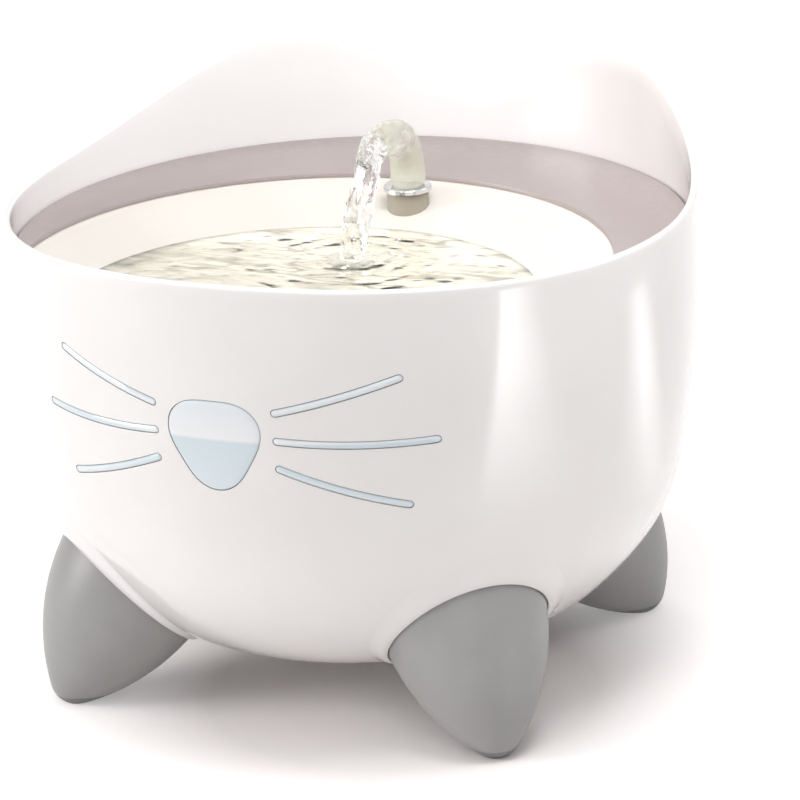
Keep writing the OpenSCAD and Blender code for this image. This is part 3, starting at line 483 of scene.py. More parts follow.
def whisker_line(row):
    """Ends, centre and angles of a whisker's bent middle line."""
    start = Vector((22.7, NOSE_Z + 1.5 + row * 10.3))
    stop = Vector((72.2 if row == 0 else 62.5, start[1] + row * 13 - 1.5))
    half = (stop - start) / 2
    up = Vector((-half[1], half[0])) / half.length
    centre = (start + stop) / 2 + math.sqrt(WHISKER_BEND_R ** 2 - half.length ** 2) * up
    a0 = math.atan2(start[1] - centre[1], start[0] - centre[0])
    a1 = math.atan2(stop[1] - centre[1], stop[0] - centre[0])
    return start, stop, centre, a0, a1


def bent(centre, r, a0, a1):
    """Points along a whisker's arc."""
    return [centre + r * Vector((math.cos(a), math.sin(a)))
            for a in (a0 + (a1 - a0) * i / 16 for i in range(17))]


def whisker_outline(row, side, grow):
    start, stop, centre, a0, a1 = whisker_line(row)
    w = WHISKER_HALF_W + grow
    made = bent(centre, WHISKER_BEND_R + w, a0, a1)
    made += [stop + w * Vector((math.cos(a1 + t), math.sin(a1 + t)))
             for t in (math.pi * i / 10 for i in range(1, 10))]
    made += bent(centre, WHISKER_BEND_R - w, a1, a0)
    made += [start + w * Vector((math.cos(a0 + t), math.sin(a0 + t)))
             for t in (math.pi * (1 + i / 10) for i in range(1, 10))]
    return [(side * p[0], p[1]) for p in made]


def outline_prism(outline):
    """Cutter through the front wall."""
    n = len(outline)
    points = [(x, y, z) for y in (-62.0, -140.0) for x, z in outline]
    faces = [tuple(range(n)), tuple(range(2 * n - 1, n - 1, -1))]
    faces += [(i, n + i, n + (i + 1) % n, (i + 1) % n) for i in range(n)]
    return points, faces


def on_face(x, z, depth):
    """A point on the front wall, depth inside its outer face."""
    r = wall_r(z, depth)
    return (x, -math.sqrt(r * r - x * x), z)


def window(name, outline, core, crown, depths, grow, node):
    """A plug that follows the wall, with rounded edges and a flange behind it that
    is bigger by grow and lies between two depths. outline(grow) gives its edge, and
    core the middle that each edge point shrinks to, which stands proud by crown."""
    layers = []
    for share in (0.0, 0.25, 0.5, 0.72, 0.88):
        proud = -crown * (1 - 0.6 * share ** 2)
        layers.append((0.05 * share, [on_face(*(a + (b - a) * share for a, b in zip(c, e)), proud)
                                      for c, e in zip(core, outline(-0.75))]))
    # Each ring's share of painted shade: darker towards the hole's wall and on the flange
    for shrink, depth, dark in ((-0.7, 0.02, 0.15), (-0.42, 0.1, 0.55), (-0.22, 0.28, 0.85),
                                (-0.14, 0.7, 1.0), (-0.14, depths[0] + crown, 1.0)):
        sunk = depth - (crown * 0.4 if depth < 0.7 else crown)
        layers.append((dark, [on_face(x, z, sunk) for x, z in outline(shrink)]))
    for shrink, depth in ((grow - 0.3, depths[0]), (grow, depths[0] + 0.3), (grow, depths[1] - 0.3),
                          (grow - 0.3, depths[1])):
        layers.append((1.0, [on_face(x, z, depth) for x, z in outline(shrink)]))
    layers.append((1.0, [on_face(c[0], c[1], depths[1]) for c in core]))
    made = solid(name, *skin([ring for dark, ring in layers]))
    # The painted edge shade of each point, for the material to read
    window_edge_shades = {tuple(round(c, 3) for c in p): dark for dark, ring in layers for p in ring}
    mark(made, "edge", [window_edge_shades.get(tuple(round(c * 1000, 3) for c in v.co), 0.0)
                        for v in made.data.vertices])
    place(made, clear_window, "base", [node], 50.0)


def make_windows():
    window("nose_window_lens", nose_outline, [(0.0, NOSE_Z)] * NOSE_POINTS, 0.0, (4.2, 5.6), 2.3,
           "nose_window")
    for row, height in ((1, "upper"), (0, "middle"), (-1, "lower")):
        start, stop, centre, a0, a1 = whisker_line(row)
        along = bent(centre, WHISKER_BEND_R, a0, a1)
        middle = along + [stop] * 9 + along[::-1] + [start] * 9
        for side, word in ((-1, "left"), (1, "right")):
            window("whisker_lens_%s_%s" % (word, height),
                   lambda grow, row=row, side=side: whisker_outline(row, side, grow),
                   [(side * p[0], p[1]) for p in middle], 0.3, (3.1, 4.5), 1.1,
                   "whisker_%s_%s" % (word, height))


# -------- feet and the lips round them

class Foot:
    """Frame of one foot: its tip's centre, its leaning axis and the way out."""
    def __init__(self, word, angle, radius):
        a = math.radians(angle)
        out = Vector((math.sin(a), -math.cos(a), 0))
        self.word = word
        self.tip = out * radius + Vector((0, 0, math.sqrt(FOOT_TIP_R ** 2 - PAD_FLAT_R ** 2)))
        lean = math.radians(FOOT_LEAN)
        self.up = out * -math.sin(lean) + Vector((0, 0, math.cos(lean)))
        self.out = out * math.cos(lean) + Vector((0, 0, math.sin(lean)))
        self.side = self.up.cross(self.out)

    def at(self, x, y, z):
        return self.tip + self.out * x + self.side * y + self.up * z


FEET = [Foot("front_left", -45, 115), Foot("front_right", 45, 115),
        Foot("rear_left", -125, 103), Foot("rear_right", 125, 103)]


def foot_profile():
    """Round tip, long side curve and round top of the teardrop."""
    side = math.degrees(math.atan2(FOOT_LEN, OGIVE_R - FOOT_R))
    profile = arc(0, 0, FOOT_TIP_R, -90, -side, 8)[1:-1]
    profile += arc(FOOT_R - OGIVE_R, FOOT_LEN, OGIVE_R, -side, 0, 30)
    return profile + arc(0, FOOT_LEN, FOOT_R, 0, 90, 18)[1:-1]


def foot_radius(along, grow):
    """Radius of a foot's form, bigger by grow, at a place along its axis."""
    if along < FOOT_LEN:
        return FOOT_R - OGIVE_R + math.sqrt((OGIVE_R + grow) ** 2 - (along - FOOT_LEN) ** 2)
    return math.sqrt(max((FOOT_R + grow) ** 2 - (along - FOOT_LEN) ** 2, 0.0))


def off_bowl(p):
    """Distance of a point from the bowl's outer face, negative inside."""
    r = math.hypot(p.x, p.y)
    if p.z < BELLY_TOP_Z:
        side = math.hypot(r - BELLY_X, p.z - BELLY_Z) - BELLY_R
    else:
        side = math.hypot(r - FLANK_X, p.z - UPRIGHT_Z) - FLANK_R
    return max(side, BOTTOM_Z - p.z)


def make_foot(foot):
    """Makes a foot cut to the bowl's belly, and gives the rubber end of it."""
    rings = [[foot.at(r * math.cos(t), r * math.sin(t), z) for t in around(96)] for r, z in foot_profile()]
    leg = solid("foot_" + foot.word + "_moulding",
                *skin(rings, start=foot.at(0, 0, -FOOT_TIP_R), end=foot.at(0, 0, FOOT_LEN + FOOT_R)))
    low, past = math.asin((BELLY_Z - BOTTOM_Z + FOOT_GAP) / (BELLY_R + FOOT_GAP)), 0.2
    wall = [belly(BELLY_R + FOOT_GAP, low - (low + past) * i / 40) for i in range(41)]
    cut_away(leg, solid("bowl_form", *turned(wall, 240, start=(0, 0, wall[0][1]), end=(0, 0, wall[-1][1]))))
    pad = twin(leg)
    for piece, levels in ((leg, ((PAD_H + 0.05, True),)), (pad, ((PAD_H, False), (0.0, True)))):
        form = bmesh.new()
        form.from_mesh(piece.data)
        for level, keep_above in levels:
            cut = bmesh.ops.bisect_plane(
                form, geom=form.verts[:] + form.edges[:] + form.faces[:], plane_co=(0, 0, level * 0.001),
                plane_no=(0, 0, 1), clear_inner=keep_above, clear_outer=not keep_above)
            edges = [e for e in cut["geom_cut"] if isinstance(e, bmesh.types.BMEdge)]
            bmesh.ops.holes_fill(form, edges=edges)
        bmesh.ops.recalc_face_normals(form, faces=form.faces)
        form.to_mesh(piece.data)
        form.free()
    place(leg, foot_pp, "base", ["foot_" + foot.word])
    return pad


def make_pads(pads):
    """Joins the four rubber pads into one piece, as they are one node."""
    form = bmesh.new()
    for pad in pads:
        form.from_mesh(pad.data)
    form.to_mesh(pads[0].data)
    form.free()
    for pad in pads[1:]:
        bpy.data.objects.remove(pad)
    pads[0].name = "rubber_foot_pads"
    place(pads[0], pad_rubber, "base", ["foot_pads"])


def lip_point(foot, turn, grow, height):
    """The place round a foot that is grow off its form and height off the bowl."""
    low, high = 4.0, FOOT_LEN + 12
    for _ in range(34):
        mid = (low + high) / 2
        r = foot_radius(mid, grow)
        p = foot.at(r * math.cos(turn), r * math.sin(turn), mid)
        low, high = (mid, high) if off_bowl(p) > height else (low, mid)
    return p


def make_lip(foot):
    """Raised brow round a foot: it swells softly out of the belly, widest above the
    foot, and turns down into the thin gap beside it."""
    turns = around(144)
    rows = [[lip_point(foot, t, grow, LIP_H * height) for t in turns] for grow, height in (
        (LIP_GAP, -0.5), (LIP_GAP, 0.55), (0.46, 0.8), (0.62, 0.93), (0.85, 0.98), (1.2, 1.0),
        (LIP_CREST, 1.0))]
    for k in range(1, 15):
        u = k / 14
        height = LIP_H * (1 - u * u * (3 - 2 * u)) + (0.02 if k < 14 else -0.15)
        row = []
        for t in turns:
            reach = 3.0 + 5.5 * (0.5 + 0.5 * math.cos(t)) ** 1.5
            row.append(lip_point(foot, t, LIP_CREST + reach * u, height))
        rows.append(row)
    place(solid("brow_" + foot.word, *skin(rows), outward=False), bowl_abs, "base", (), 60.0)


# -------- dish

def reach_circle(cy, way, radius):
    """Distance from (0, cy) along a flat direction to a circle about the axis."""
    b = way[1] * cy
    return -b + math.sqrt(max(b * b - cy * cy + radius * radius, 0.0))


WAYS = [(math.cos(a), math.sin(a)) for a in around(240)]


def dish_ring(cy, r, z, clip=None):
    """Ring about (0, cy), kept inside a circle about the axis where clip is given."""
    reach = [r if clip is None else min(r, reach_circle(cy, way, clip)) for way in WAYS]
    return [(way[0] * t, cy + way[1] * t, z) for way, t in zip(WAYS, reach)]


def round_ring(radius, z):
    """Ring about the axis, whose points lie on the basin's own rays."""
    reach = [reach_circle(BASIN_Y, way, radius) for way in WAYS]
    return [(way[0] * t, BASIN_Y + way[1] * t, z) for way, t in zip(WAYS, reach)]


def basin_level(w, grow=0.0):
    """Centre, radius and height of the basin at a share w of its depth."""
    return (BASIN_Y - BASIN_DRIFT * w,
            BASIN_FLAT_R + (BASIN_R - BASIN_FLAT_R) * math.sqrt(max(1 - w, 0)) + grow,
            LIP_Z - BASIN_DEPTH * w - grow)


def basin_z(x, y):
    """Height of the basin's surface under a point."""
    low, high = 0.0, 1.0
    cy, r, z = basin_level(1.0)
    if math.hypot(x, y - cy) <= r:
        return z
    for _ in range(30):
        mid = (low + high) / 2
        cy, r, z = basin_level(mid)
        low, high = (mid, high) if math.hypot(x, y - cy) < r else (low, mid)
    return basin_level(low)[2]


def make_collar(name, y, r_in, r_out, low):
    """Upright wall under the dish that ends inside the basin's floor."""
    turns, sink, edge = around(120), 1.2, 0.3
    rings = []
    for r, up in ((r_out, False), (r_out, True), (r_in, True), (r_in, False)):
        spots = [(r * math.cos(t), y + r * math.sin(t)) for t in turns]
        rings.append([(*spot, basin_z(*spot) - sink if up else low + edge) for spot in spots])
    for r in (r_in + edge, r_out - edge):
        rings.append([(r * math.cos(t), y + r * math.sin(t), low) for t in turns])
    place(solid(name, *skin(rings, wrap=True)), dish_pp, "dish")


def make_dish():
    shares = [1 - (1 - k / 30) ** 2 for k in range(31)]
    rings = [dish_ring(DRAIN_Y, 18.3, 137.6)]
    for w in reversed(shares):
        if basin_level(w, DISH_WALL)[2] < LEDGE_Z - 0.3:
            rings.append(dish_ring(*basin_level(w, DISH_WALL), clip=DISH_BODY_R))
    rings += [dish_ring(-37.6, 107.2, LEDGE_Z, DISH_BODY_R), round_ring(DISH_BODY_R, LEDGE_Z),
              round_ring(DISH_R - 0.4, LEDGE_Z), round_ring(DISH_R, LEDGE_Z + 0.4),
              round_ring(DISH_R, LIP_Z - 0.9), round_ring(DISH_R - 0.25, LIP_Z - 0.3),
              round_ring(DISH_R - 0.9, LIP_Z)]
    for out, drop in ((0.9, 0.0), (0.45, 0.12), (0.12, 0.42)):
        rings.append(dish_ring(BASIN_Y, BASIN_R + out, LIP_Z - drop, DISH_IN_R + out))
    for w in shares:
        cy, r, z = basin_level(w)
        if z < LIP_Z - 0.7:
            rings.append(dish_ring(cy, r, z, DISH_IN_R))
    # The well round the overflow and its raised edge
    for r, z in ((21.6, 140.0), (20.95, 140.25), (20.7, 140.9), (20.7, 148.5), (20.5, 148.95),
                 (20.1, 149.1), (19.9, 149.05), (19.6, 148.8), (19.5, 148.4), (19.5, 145.9),
                 (18.3, 145.9)):
        rings.append(dish_ring(DRAIN_Y, r, z))
    made = solid("drinking_dish_bowl", *skin(rings, wrap=True))
    place(made, dish_pp, "dish", ["dish"], 40.0)
    make_collar("filter_skirt", SKIRT_Y, 45.3, 47.7, 120.0)
    make_collar("spout_collar", SPOUT_Y, 7.9, 10.2, 139.4)


def make_deck():
    """Crescent plate on the back of the dish, thinning to a point on each side."""
    horn = math.degrees(math.atan2(-66.7 - BASIN_Y, 101.6))
    near, outer_r, under_z, steps, inset = 106.1, 121.5, 158.42, 200, 0.6
    rings = []
    for i in range(steps + 1):
        a = math.radians(horn + inset + (180 - 2 * horn - 2 * inset) * i / steps)
        way = (math.cos(a), math.sin(a))
        far = reach_circle(BASIN_Y, way, outer_r)
        edge = min(0.5, (far - near) / 4)
        rings.append([(way[0] * t, BASIN_Y + way[1] * t, z) for t, z in (
            (near, under_z), (near, DECK_Z - edge), (near + edge * 0.3, DECK_Z - edge * 0.3),
            (near + edge, DECK_Z), (far - edge, DECK_Z), (far - edge * 0.3, DECK_Z - edge * 0.3),
            (far, DECK_Z - edge), (far, under_z))])
    n = len(rings[0])
    points = [p for ring in rings for p in ring]
    faces = [(a * n + b, a * n + (b + 1) % n, (a + 1) * n + (b + 1) % n, (a + 1) * n + b)
             for a in range(steps) for b in range(n)]
    faces += [tuple(range(n)), tuple(range(steps * n + n - 1, steps * n - 1, -1))]
    # The deck's taupe is painted shade and reflection
    place(solid("deck_crescent", points, faces), deck_shade_pp, "dish", ["dish_deck"], 40.0)


def make_spout():
    at = (0.0, SPOUT_Y)
    profile = [(5.2, 159.6), (5.6, 160.0), (7.2, 160.0), (7.65, 159.8), (7.8, 159.4), (7.8, 139.8),
               (7.4, 139.4), (5.7, 139.4), (5.7, 124.2), (5.3, 123.8), (4.6, 123.8), (4.2, 124.2),
               (4.2, 138.8), (5.2, 140.4)]
    made = solid("spout_nozzle_moulding", *turned(profile, 72, at, wrap=True))
    place(made, ivory_pp, "dish", ["spout_nozzle"])
    ring = [(8.9, 160.02), (8.9, 160.9)] + arc(8.2, 161.1, 0.7, 0, 90, 5) + [(6.2, 161.8)]
    ring += arc(5.9, 161.1, 0.7, 90, 180, 5)[1:] + [(5.2, 160.02)]
    made = solid("spout_ring_polished", *turned(ring, 96, at, wrap=True))
    place(made, ring_chrome, "dish", ["spout_ring"], 50.0)


# -------- water

def smooth_path(knots, count):
    """Even steps along a Catmull-Rom curve through knots of any width."""
    made = []
    last = len(knots) - 1
    for i in range(count + 1):
        u = last * i / count
        k = min(int(u), last - 1)
        t = u - k
        p0, p1, p2, p3 = (knots[max(min(j, last), 0)] for j in (k - 1, k, k + 1, k + 2))
        made.append([0.5 * (2 * b + (c - a) * t + (2 * a - 5 * b + 4 * c - d) * t * t
                            + (3 * b - a - 3 * c + d) * t ** 3) for a, b, c, d in zip(p0, p1, p2, p3)])
    return made


def make_stream():
    """Water that wells up out of the spout and falls over in a rope of folds."""
    # x, y, z of the middle line, radius, flatness, share of air
    knots = [(0, 52.0, 160.6, 5.0, 1.0, 1.0), (0, 52.1, 161.9, 5.6, 1.0, 1.0),
             (0, 52.5, 163.6, 6.5, 1.0, 1.0), (0, 52.8, 167.5, 6.4, 1.0, 1.0),
             (0.1, 52.2, 172.0, 6.3, 1.0, 0.95), (0.3, 49.2, 177.4, 6.3, 1.0, 0.8),
             (0.3, 43.0, 182.0, 6.2, 1.0, 0.45), (0, 34.0, 184.9, 5.9, 0.96, 0.12),
             (-0.3, 25.0, 184.2, 5.3, 0.92, 0.0), (-0.2, 17.8, 179.8, 4.7, 0.88, 0.0),
             (0.1, 12.2, 173.2, 4.4, 0.86, 0.0), (0.3, 7.2, 166.0, 4.2, 0.86, 0.0),
             (0.0, 2.6, 158.4, 4.2, 0.9, 0.0), (-0.2, -1.2, 151.6, 4.6, 1.0, 0.0),
             (0, -2.2, 149.2, 5.0, 1.0, 0.1)]
    path = smooth_path(knots, 150)
    rings, airs = [], []
    side = Vector((1, 0, 0))
    for i, (x, y, z, r, flat, air) in enumerate(path):
        a, b = path[max(i - 1, 0)], path[min(i + 1, len(path) - 1)]
        way = Vector((b[0] - a[0], b[1] - a[1], b[2] - a[2])).normalized()
        over = way.cross(side).normalized()
        twist, clear = i * 0.035, 1 - air
        ring = []
        for t in around(56):
            swell = noise.noise(Vector((math.cos(t) * 1.1, math.sin(t) * 1.1, i * 0.06)))
            fine = noise.noise(Vector((math.cos(t) * 2.6, math.sin(t) * 2.6, i * 0.16 + 9)))
            rr = r * (1 + swell * (0.03 + 0.26 * clear) + fine * (0.015 + 0.1 * clear))
            rr *= 1 + (flat - 1) * math.cos(2 * (t - twist))
            ring.append(Vector((x, y, z)) + side * rr * math.cos(t) + over * rr * math.sin(t))
        rings.append(ring)
        airs += [air] * len(ring)
    made = solid("water_stream", *skin(rings, start=Vector(path[0][:3]), end=Vector(path[-1][:3])))
    mark(made, "air", airs + [1.0, 0.1])
    place(made, stream_water, "dish", (), 80.0)


def ripple(x, y):
    """Height of the pool's surface above its level: rings and a crown round the
    splash, and a slow swell."""
    d = math.hypot(x, y - SPLASH_Y)
    waves = 0.28 * math.exp(-d / 42) * math.sin(d * 2 * math.pi / 8.5 - 1.0)
    rough = noise.noise(Vector((x * 0.35, y * 0.35, 3)))
    crown = 1.5 * math.exp(-((d - 7.5) / 2.2) ** 2) * (0.65 + 0.6 * rough)
    wide = noise.noise(Vector((x * 0.055, y * 0.1, 5)))
    swell = 0.34 * wide + 0.2 * noise.noise(Vector((x * 0.16, y * 0.24, 8)))
    return waves + crown + swell


def make_pool():
    cy, radius, _ = basin_level((LIP_Z - WATER_Z) / BASIN_DEPTH)
    steps = 84
    tops, lows = [], []
    for k in range(1, steps + 1):
        share = (k / steps) ** 0.9
        calm = min(1.0, (1 - share) * 16)
        top, low = [], []
        for t in around(300):
            way = (math.cos(t), math.sin(t))
            far = min(radius, reach_circle(cy, way, DISH_IN_R)) - 0.05
            x, y = way[0] * far * share, cy + way[1] * far * share
            z = WATER_Z + ripple(x, y) * calm + 0.15 * (1 - calm)
            top.append((x, y, z))
            low.append((x, y, min(WATER_Z - 0.25, z - 0.25) + 0.2 * (1 - calm)))
        tops.append(top)
        lows.append(low)
    top_z = WATER_Z + ripple(0, cy)
    made = solid("water_pool", *skin(tops + lows[::-1], start=(0, cy, top_z), end=(0, cy, WATER_Z - 0.4)))
    airs, pool_edge_shades = [], []
    for v in made.data.vertices:
        x, y = v.co.x * 1000, v.co.y * 1000
        airs.append(0.5 * math.exp(-((math.hypot(x, y - SPLASH_Y) - 6) / 3.0) ** 2))
        # Painted shade along the pool's edge, for the thin wedge of water there, widest and streaked at the
        # sides
        way = Vector((x, y - cy)).normalized()
        in_by = min(radius, reach_circle(cy, way, DISH_IN_R)) - math.hypot(x, y - cy)
        streak = 0.5 + 0.9 * noise.noise(Vector((x * 0.06, y * 0.25, 2)))
        side = max(abs(way.x) - 0.75, 0) * 4
        wide = side * math.exp(-(in_by / 12) ** 2) * max(streak, 0.0)
        band = math.exp(-(in_by / 1.6) ** 2) * 0.55 + wide
        pool_edge_shades.append(min(band, 0.9))
    mark(made, "air", airs)
    mark(made, "pool_edge_shade", pool_edge_shades)
    place(made, pool_water, "dish", (), 80.0)


def drops_tree():
    """Geometry Nodes: small round drops scattered in a ring round the splash. Gives
    the tree and the identifier of each named input."""
    tree = bpy.data.node_groups.new("scattered_drops", "GeometryNodeTree")
    sockets = {}
    for label, kind in (("Count", "Int"), ("Seed", "Int"), ("Drop Radius", "Float"),
                        ("Ring Start", "Float"), ("Ring End", "Float"), ("Throw Height", "Float"),
                        ("Water", "Material")):
        made = tree.interface.new_socket(label, in_out="INPUT", socket_type="NodeSocket" + kind)
        sockets[label] = made.identifier
    tree.interface.new_socket("Geometry", in_out="OUTPUT", socket_type="NodeSocketGeometry")
    given = add(tree, "NodeGroupInput").node.outputs

    def chance(low, high, number):
        """Random number for each drop, from a series of its own."""
        seed = add(tree, "Math", {0: given["Seed"], 1: float(number)}, operation="ADD")
        return add(tree, "FunctionNodeRandomValue", {2: low, 3: high, "Seed": seed}, 1)

    turn = chance(0.0, 2 * math.pi, 1)
    reach = chance(given["Ring Start"], given["Ring End"], 2)
    flat = [add(tree, "Math", {0: reach, 1: add(tree, "Math", {0: turn}, operation=way)},
                operation="MULTIPLY") for way in ("COSINE", "SINE")]
    rise = add(tree, "Math", {0: given["Throw Height"], 1: chance(0.0, 1.0, 3)}, operation="MULTIPLY")
    spot = add(tree, "CombineXYZ", {0: flat[0], 1: flat[1], 2: rise})
    spots = add(tree, "GeometryNodePoints", {"Count": given["Count"], "Position": spot})
    drop = add(tree, "GeometryNodeMeshIcoSphere", {"Subdivisions": 2, "Radius": given["Drop Radius"]})
    many = add(tree, "GeometryNodeInstanceOnPoints", {
        "Points": spots, "Instance": drop, "Scale": chance(0.45, 1.0, 4)})
    many = add(tree, "GeometryNodeRealizeInstances", {0: many})
    many = add(tree, "GeometryNodeSetMaterial", {"Geometry": many, "Material": given["Water"]})
    add(tree, "NodeGroupOutput", {0: many})
    return tree, sockets


def make_drops():
    """A few drops thrown off by the stream, scattered by a fixed seed."""
    made = put("water_drops", bpy.data.meshes.new("water_drops"))
    tree, sockets = drops_tree()
    scatter = made.modifiers.new("drops", "NODES")
    scatter.node_group = tree
    for label, value in {"Count": 12, "Seed": 7, "Drop Radius": 0.0006, "Ring Start": 0.0065,
                         "Ring End": 0.0135, "Throw Height": 0.013, "Water": stream_water}.items():
        scatter[sockets[label]] = value
    settled(made)
    made.data.transform(Matrix.Translation((0.0, -0.001, 0.1515)))
    place(made, stream_water, "dish", (), 80.0)


# -------- finished copies of plain pieces

def finished(node, material, body, slot, bevel):
    """A copy of a solid with its edges broken by a small radius."""
    made = twin(nodes[node])
    made.name = node + "_finished"
    for key in list(made.keys()):
        del made[key]
    made.parent = None
    form = bmesh.new()
    form.from_mesh(made.data)
    bmesh.ops.remove_doubles(form, verts=form.verts, dist=1e-6)
    bmesh.ops.dissolve_limit(form, angle_limit=math.radians(0.5), verts=form.verts, edges=form.edges)
    bmesh.ops.recalc_face_normals(form, faces=form.faces)
    form.to_mesh(made.data)
    form.free()
    step = made.modifiers.new("edges", "BEVEL")
    step.width, step.segments, step.limit_method = bevel * 0.001, 2, "ANGLE"
    step.angle_limit = math.radians(35.0)
    step.use_clamp_overlap = True
    settled(made)
    place(made, material, body, [node], 40.0)


make_bowl()
make_windows()
make_pads([make_foot(foot) for foot in FEET])
for foot in FEET:
    make_lip(foot)
make_dish()
make_deck()
make_spout()
make_stream()
make_pool()
make_drops()

# Plain pieces keep their form and get broken edges: material, body, slot, bevel
for node, looks in {
        "foot_screws": (screw_steel, "base", "screw_steel", 0.15),
        "cable_grommet": (grommet_rubber, "base", "grommet_rubber", 0.5),
        "drain_grille": (grille_pp, "dish", "grille_white", 0.3),
        "riser_tube": (tube_silicone, "dish", "tube_silicone", 0.3),
        "filter_basket": (basket_pp, "filter", "basket_white", 0.35),
        "filter_frame": (frame_pp, "filter", "frame_grey", 0.35),
        "filter_pad": (pad_fibre, "filter", "pad_fibre", 0.8),
        "carbon_bed": (carbon, "filter", "carbon_black", 0.6),
        "pump_housing": (pump_abs, "pump", "pump_grey", 0.5),
        "pump_rear_cover": (pump_abs, "pump", "pump_grey", 0.4),
        "pump_intake_cover": (pump_abs, "intake", "pump_grey", 0.4),
        "prefilter_foam": (foam, "intake", "foam_black", 0.6),
        "impeller": (impeller_abs, "rotor", "impeller_white", 0.15),
        "rotor_magnet": (ferrite, "rotor", "magnet_ferrite", 0.3),
        "suction_cups": (cup_silicone, "pump", "cup_rubber", 0.3)}.items():
    finished(node, *looks)
# The rest keep their mesh too
for node, material in {"nose_seal": seal_silicone, "rotor_shaft": ceramic, "shaft_bush_front": bush_nbr,
                       "shaft_bush_rear": bush_nbr, "stator_core": core_steel, "stator_coil": coil_copper,
                       "led_board": circuit_board, "led_lens": lens_clear}.items():
    nodes[node].data.materials.clear()
    nodes[node].data.materials.append(material)

# -------- studio, in metres
floor_mesh = bpy.data.meshes.new("studio_floor")
floor_mesh.from_pydata([(-9, -9, 0), (9, -9, 0), (9, 9, 0), (-9, 9, 0)], [], [(0, 1, 2, 3)])
floor = put("studio_floor", floor_mesh)
# Matt white sweep: takes the soft shadow, and a painted light that grows away from a point
# beside the bowl cuts that shadow short; far off it reads as plain white. It is
# open from below, so that the underside can be looked at
sweep = finish("matt_white_sweep")
ray = add(sweep, "LightPath").node.outputs
seen = add(sweep, "Math", {0: ray["Is Camera Ray"], 1: ray["Is Glossy Ray"]}, operation="MAXIMUM")
seen = add(sweep, "Math", {0: seen, 1: ray["Is Transmission Ray"]}, operation="MAXIMUM")
here = add(sweep, "TexCoord", out="Object")
away = add(sweep, "VectorMath", {0: here, 1: (0.03, -0.04, 0.0)}, "Value", operation="DISTANCE")
# Painted light: floor glow that rises from 0.07 to 0.13 m off a point beside the bowl, whitening its shadow
# there
painted_light_near = add(sweep, "MapRange", {0: away, 1: 0.07, 2: 0.13, 3: 0.0, 4: 0.46})
far_white = add(sweep, "MapRange", {0: away, 1: 0.35, 2: 1.2, 3: 0.0, 4: 0.6})
white_out = add(sweep, "Math", {0: painted_light_near, 1: far_white}, operation="ADD")
strength = add(sweep, "Math", {0: white_out, 1: seen}, operation="MULTIPLY")
glow = add(sweep, "Emission", {"Color": "FFFEFE", "Strength": strength})
paper = add(sweep, "BsdfDiffuse", {"Color": "F8F4F3"})
lit = add(sweep, "AddShader", {0: paper, 1: glow})
below = add(sweep, "NewGeometry", out="Backfacing")
shader = add(sweep, "MixShader", {0: below, 1: lit, 2: add(sweep, "BsdfTransparent")})
add(sweep, "OutputMaterial", {"Surface": shader})
floor_mesh.materials.append(sweep)

# The room lights the piece dimly and looks white itself
world = bpy.data.worlds.new("studio")
bpy.context.scene.world = world
world.use_nodes = True
world.node_tree.nodes.clear()
ray = add(world, "LightPath").node.outputs
seen = add(world, "Math", {0: ray["Is Camera Ray"], 1: ray["Is Transmission Ray"]}, operation="MAXIMUM")
seen = add(world, "Math", {0: seen, 1: ray["Is Glossy Ray"]}, operation="MAXIMUM")
room = add(world, "Background", {"Color": "F6F4F4", "Strength": 0.26})
white = add(world, "Background", {"Color": (1, 1, 1, 1), "Strength": 1.0})
both = add(world, "MixShader", {0: seen, 1: room, 2: white})
add(world, "OutputWorld", {"Surface": both})


def lamp(name, spot, size, watts, colour="FFFFFF", aim=(0, 0, 0.1)):
    light = bpy.data.lights.new(name, "AREA")
    light.shape = "RECTANGLE"
    light.size, light.size_y = size
    light.energy = watts
    light.color = tone(colour)[:3]
    made = put(name, light)
    made.location = spot
    made.rotation_mode = "QUATERNION"
    made.rotation_quaternion = (Vector(aim) - Vector(spot)).to_track_quat("-Z", "Y")
    made.visible_camera = False
    return made


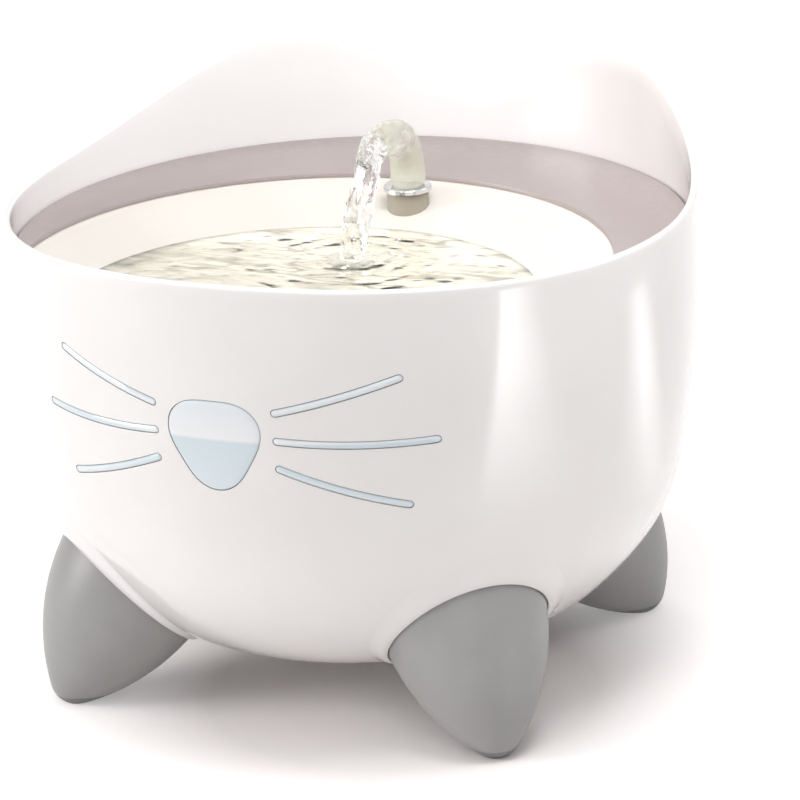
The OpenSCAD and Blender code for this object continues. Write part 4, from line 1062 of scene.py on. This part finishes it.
lamp("key_softbox", (-1.4, -0.9, 0.65), (0.8, 0.8), 16.0, "FFFEFD")
lamp("front_softbox", (0.75, -1.5, 1.2), (1.0, 1.0), 4.8, "FFFDFD")
lamp("top_softbox", (0.1, -0.3, 1.9), (1.4, 1.4), 10.0)
lamp("rear_softbox", (1.2, 0.7, 1.1), (0.8, 0.8), 3.5)
lamp("small_fill", (0.13, -0.1, 0.465), (0.15, 0.15), 0.8, aim=(-0.08, 0.09, 0.18))


def low_strip(name, start, stop, width, watts, edges):
    """A low strip light on the floor that faces up, bright at its far end and soft at
    its sides: its mirror image draws an upright band on the gloss of the bowl."""
    start, stop = Vector((*start, 0.003)), Vector((*stop, 0.003))
    along, down = (stop - start).normalized(), Vector((0, 0, -1))
    made = lamp(name, (0, 0, 0), ((stop - start).length, width), watts)
    basis = Matrix((along, down.cross(along), down)).transposed().to_4x4()
    made.matrix_world = Matrix.Translation((start + stop) / 2) @ basis
    light = made.data
    light.use_nodes = True
    light.node_tree.nodes.clear()
    over = add(light, "NewGeometry", out="Parametric")
    parts = add(light, "SeparateXYZ", {0: over}).node.outputs
    length = add(light, "MapRange", {0: parts["X"], 1: 0.0, 2: 0.5})
    rise = add(light, "MapRange", {0: parts["Y"], 1: 0.0, 2: edges[0]})
    fall = add(light, "MapRange", {0: parts["Y"], 1: 1.0 - edges[1], 2: 1.0, 3: 1.0, 4: 0.0})
    sides = add(light, "Math", {0: rise, 1: fall}, operation="MULTIPLY")
    power = add(light, "Math", {0: length, 1: sides}, operation="MULTIPLY")
    add(light, "OutputLight", {"Surface": add(light, "Emission", {"Strength": power})})


low_strip("band_strip", (0.20, -0.075), (0.66, -0.20), 0.15, 1.1, (0.85, 0.1))
low_strip("edge_strip", (0.17, 0.09), (0.48, 0.27), 0.13, 0.32, (0.5, 0.5))

camera = bpy.data.cameras.new("camera")
camera.lens, camera.sensor_width = 201.66, 36.0
camera.clip_start, camera.clip_end = 0.05, 60.0
eye = put("camera", camera)
right, up = Vector((0.9219, 0.385, -0.0426)), Vector((-0.0908, 0.3217, 0.9425))
ahead = Vector((-0.3766, 0.865, -0.3315))
eye.matrix_world = Matrix((
    (right.x, up.x, -ahead.x, 0.6282), (right.y, up.y, -ahead.y, -1.4068),
    (right.z, up.z, -ahead.z, 0.6357), (0, 0, 0, 1)))
bpy.context.scene.camera = eye
bpy.context.scene.view_settings.view_transform = "Standard"
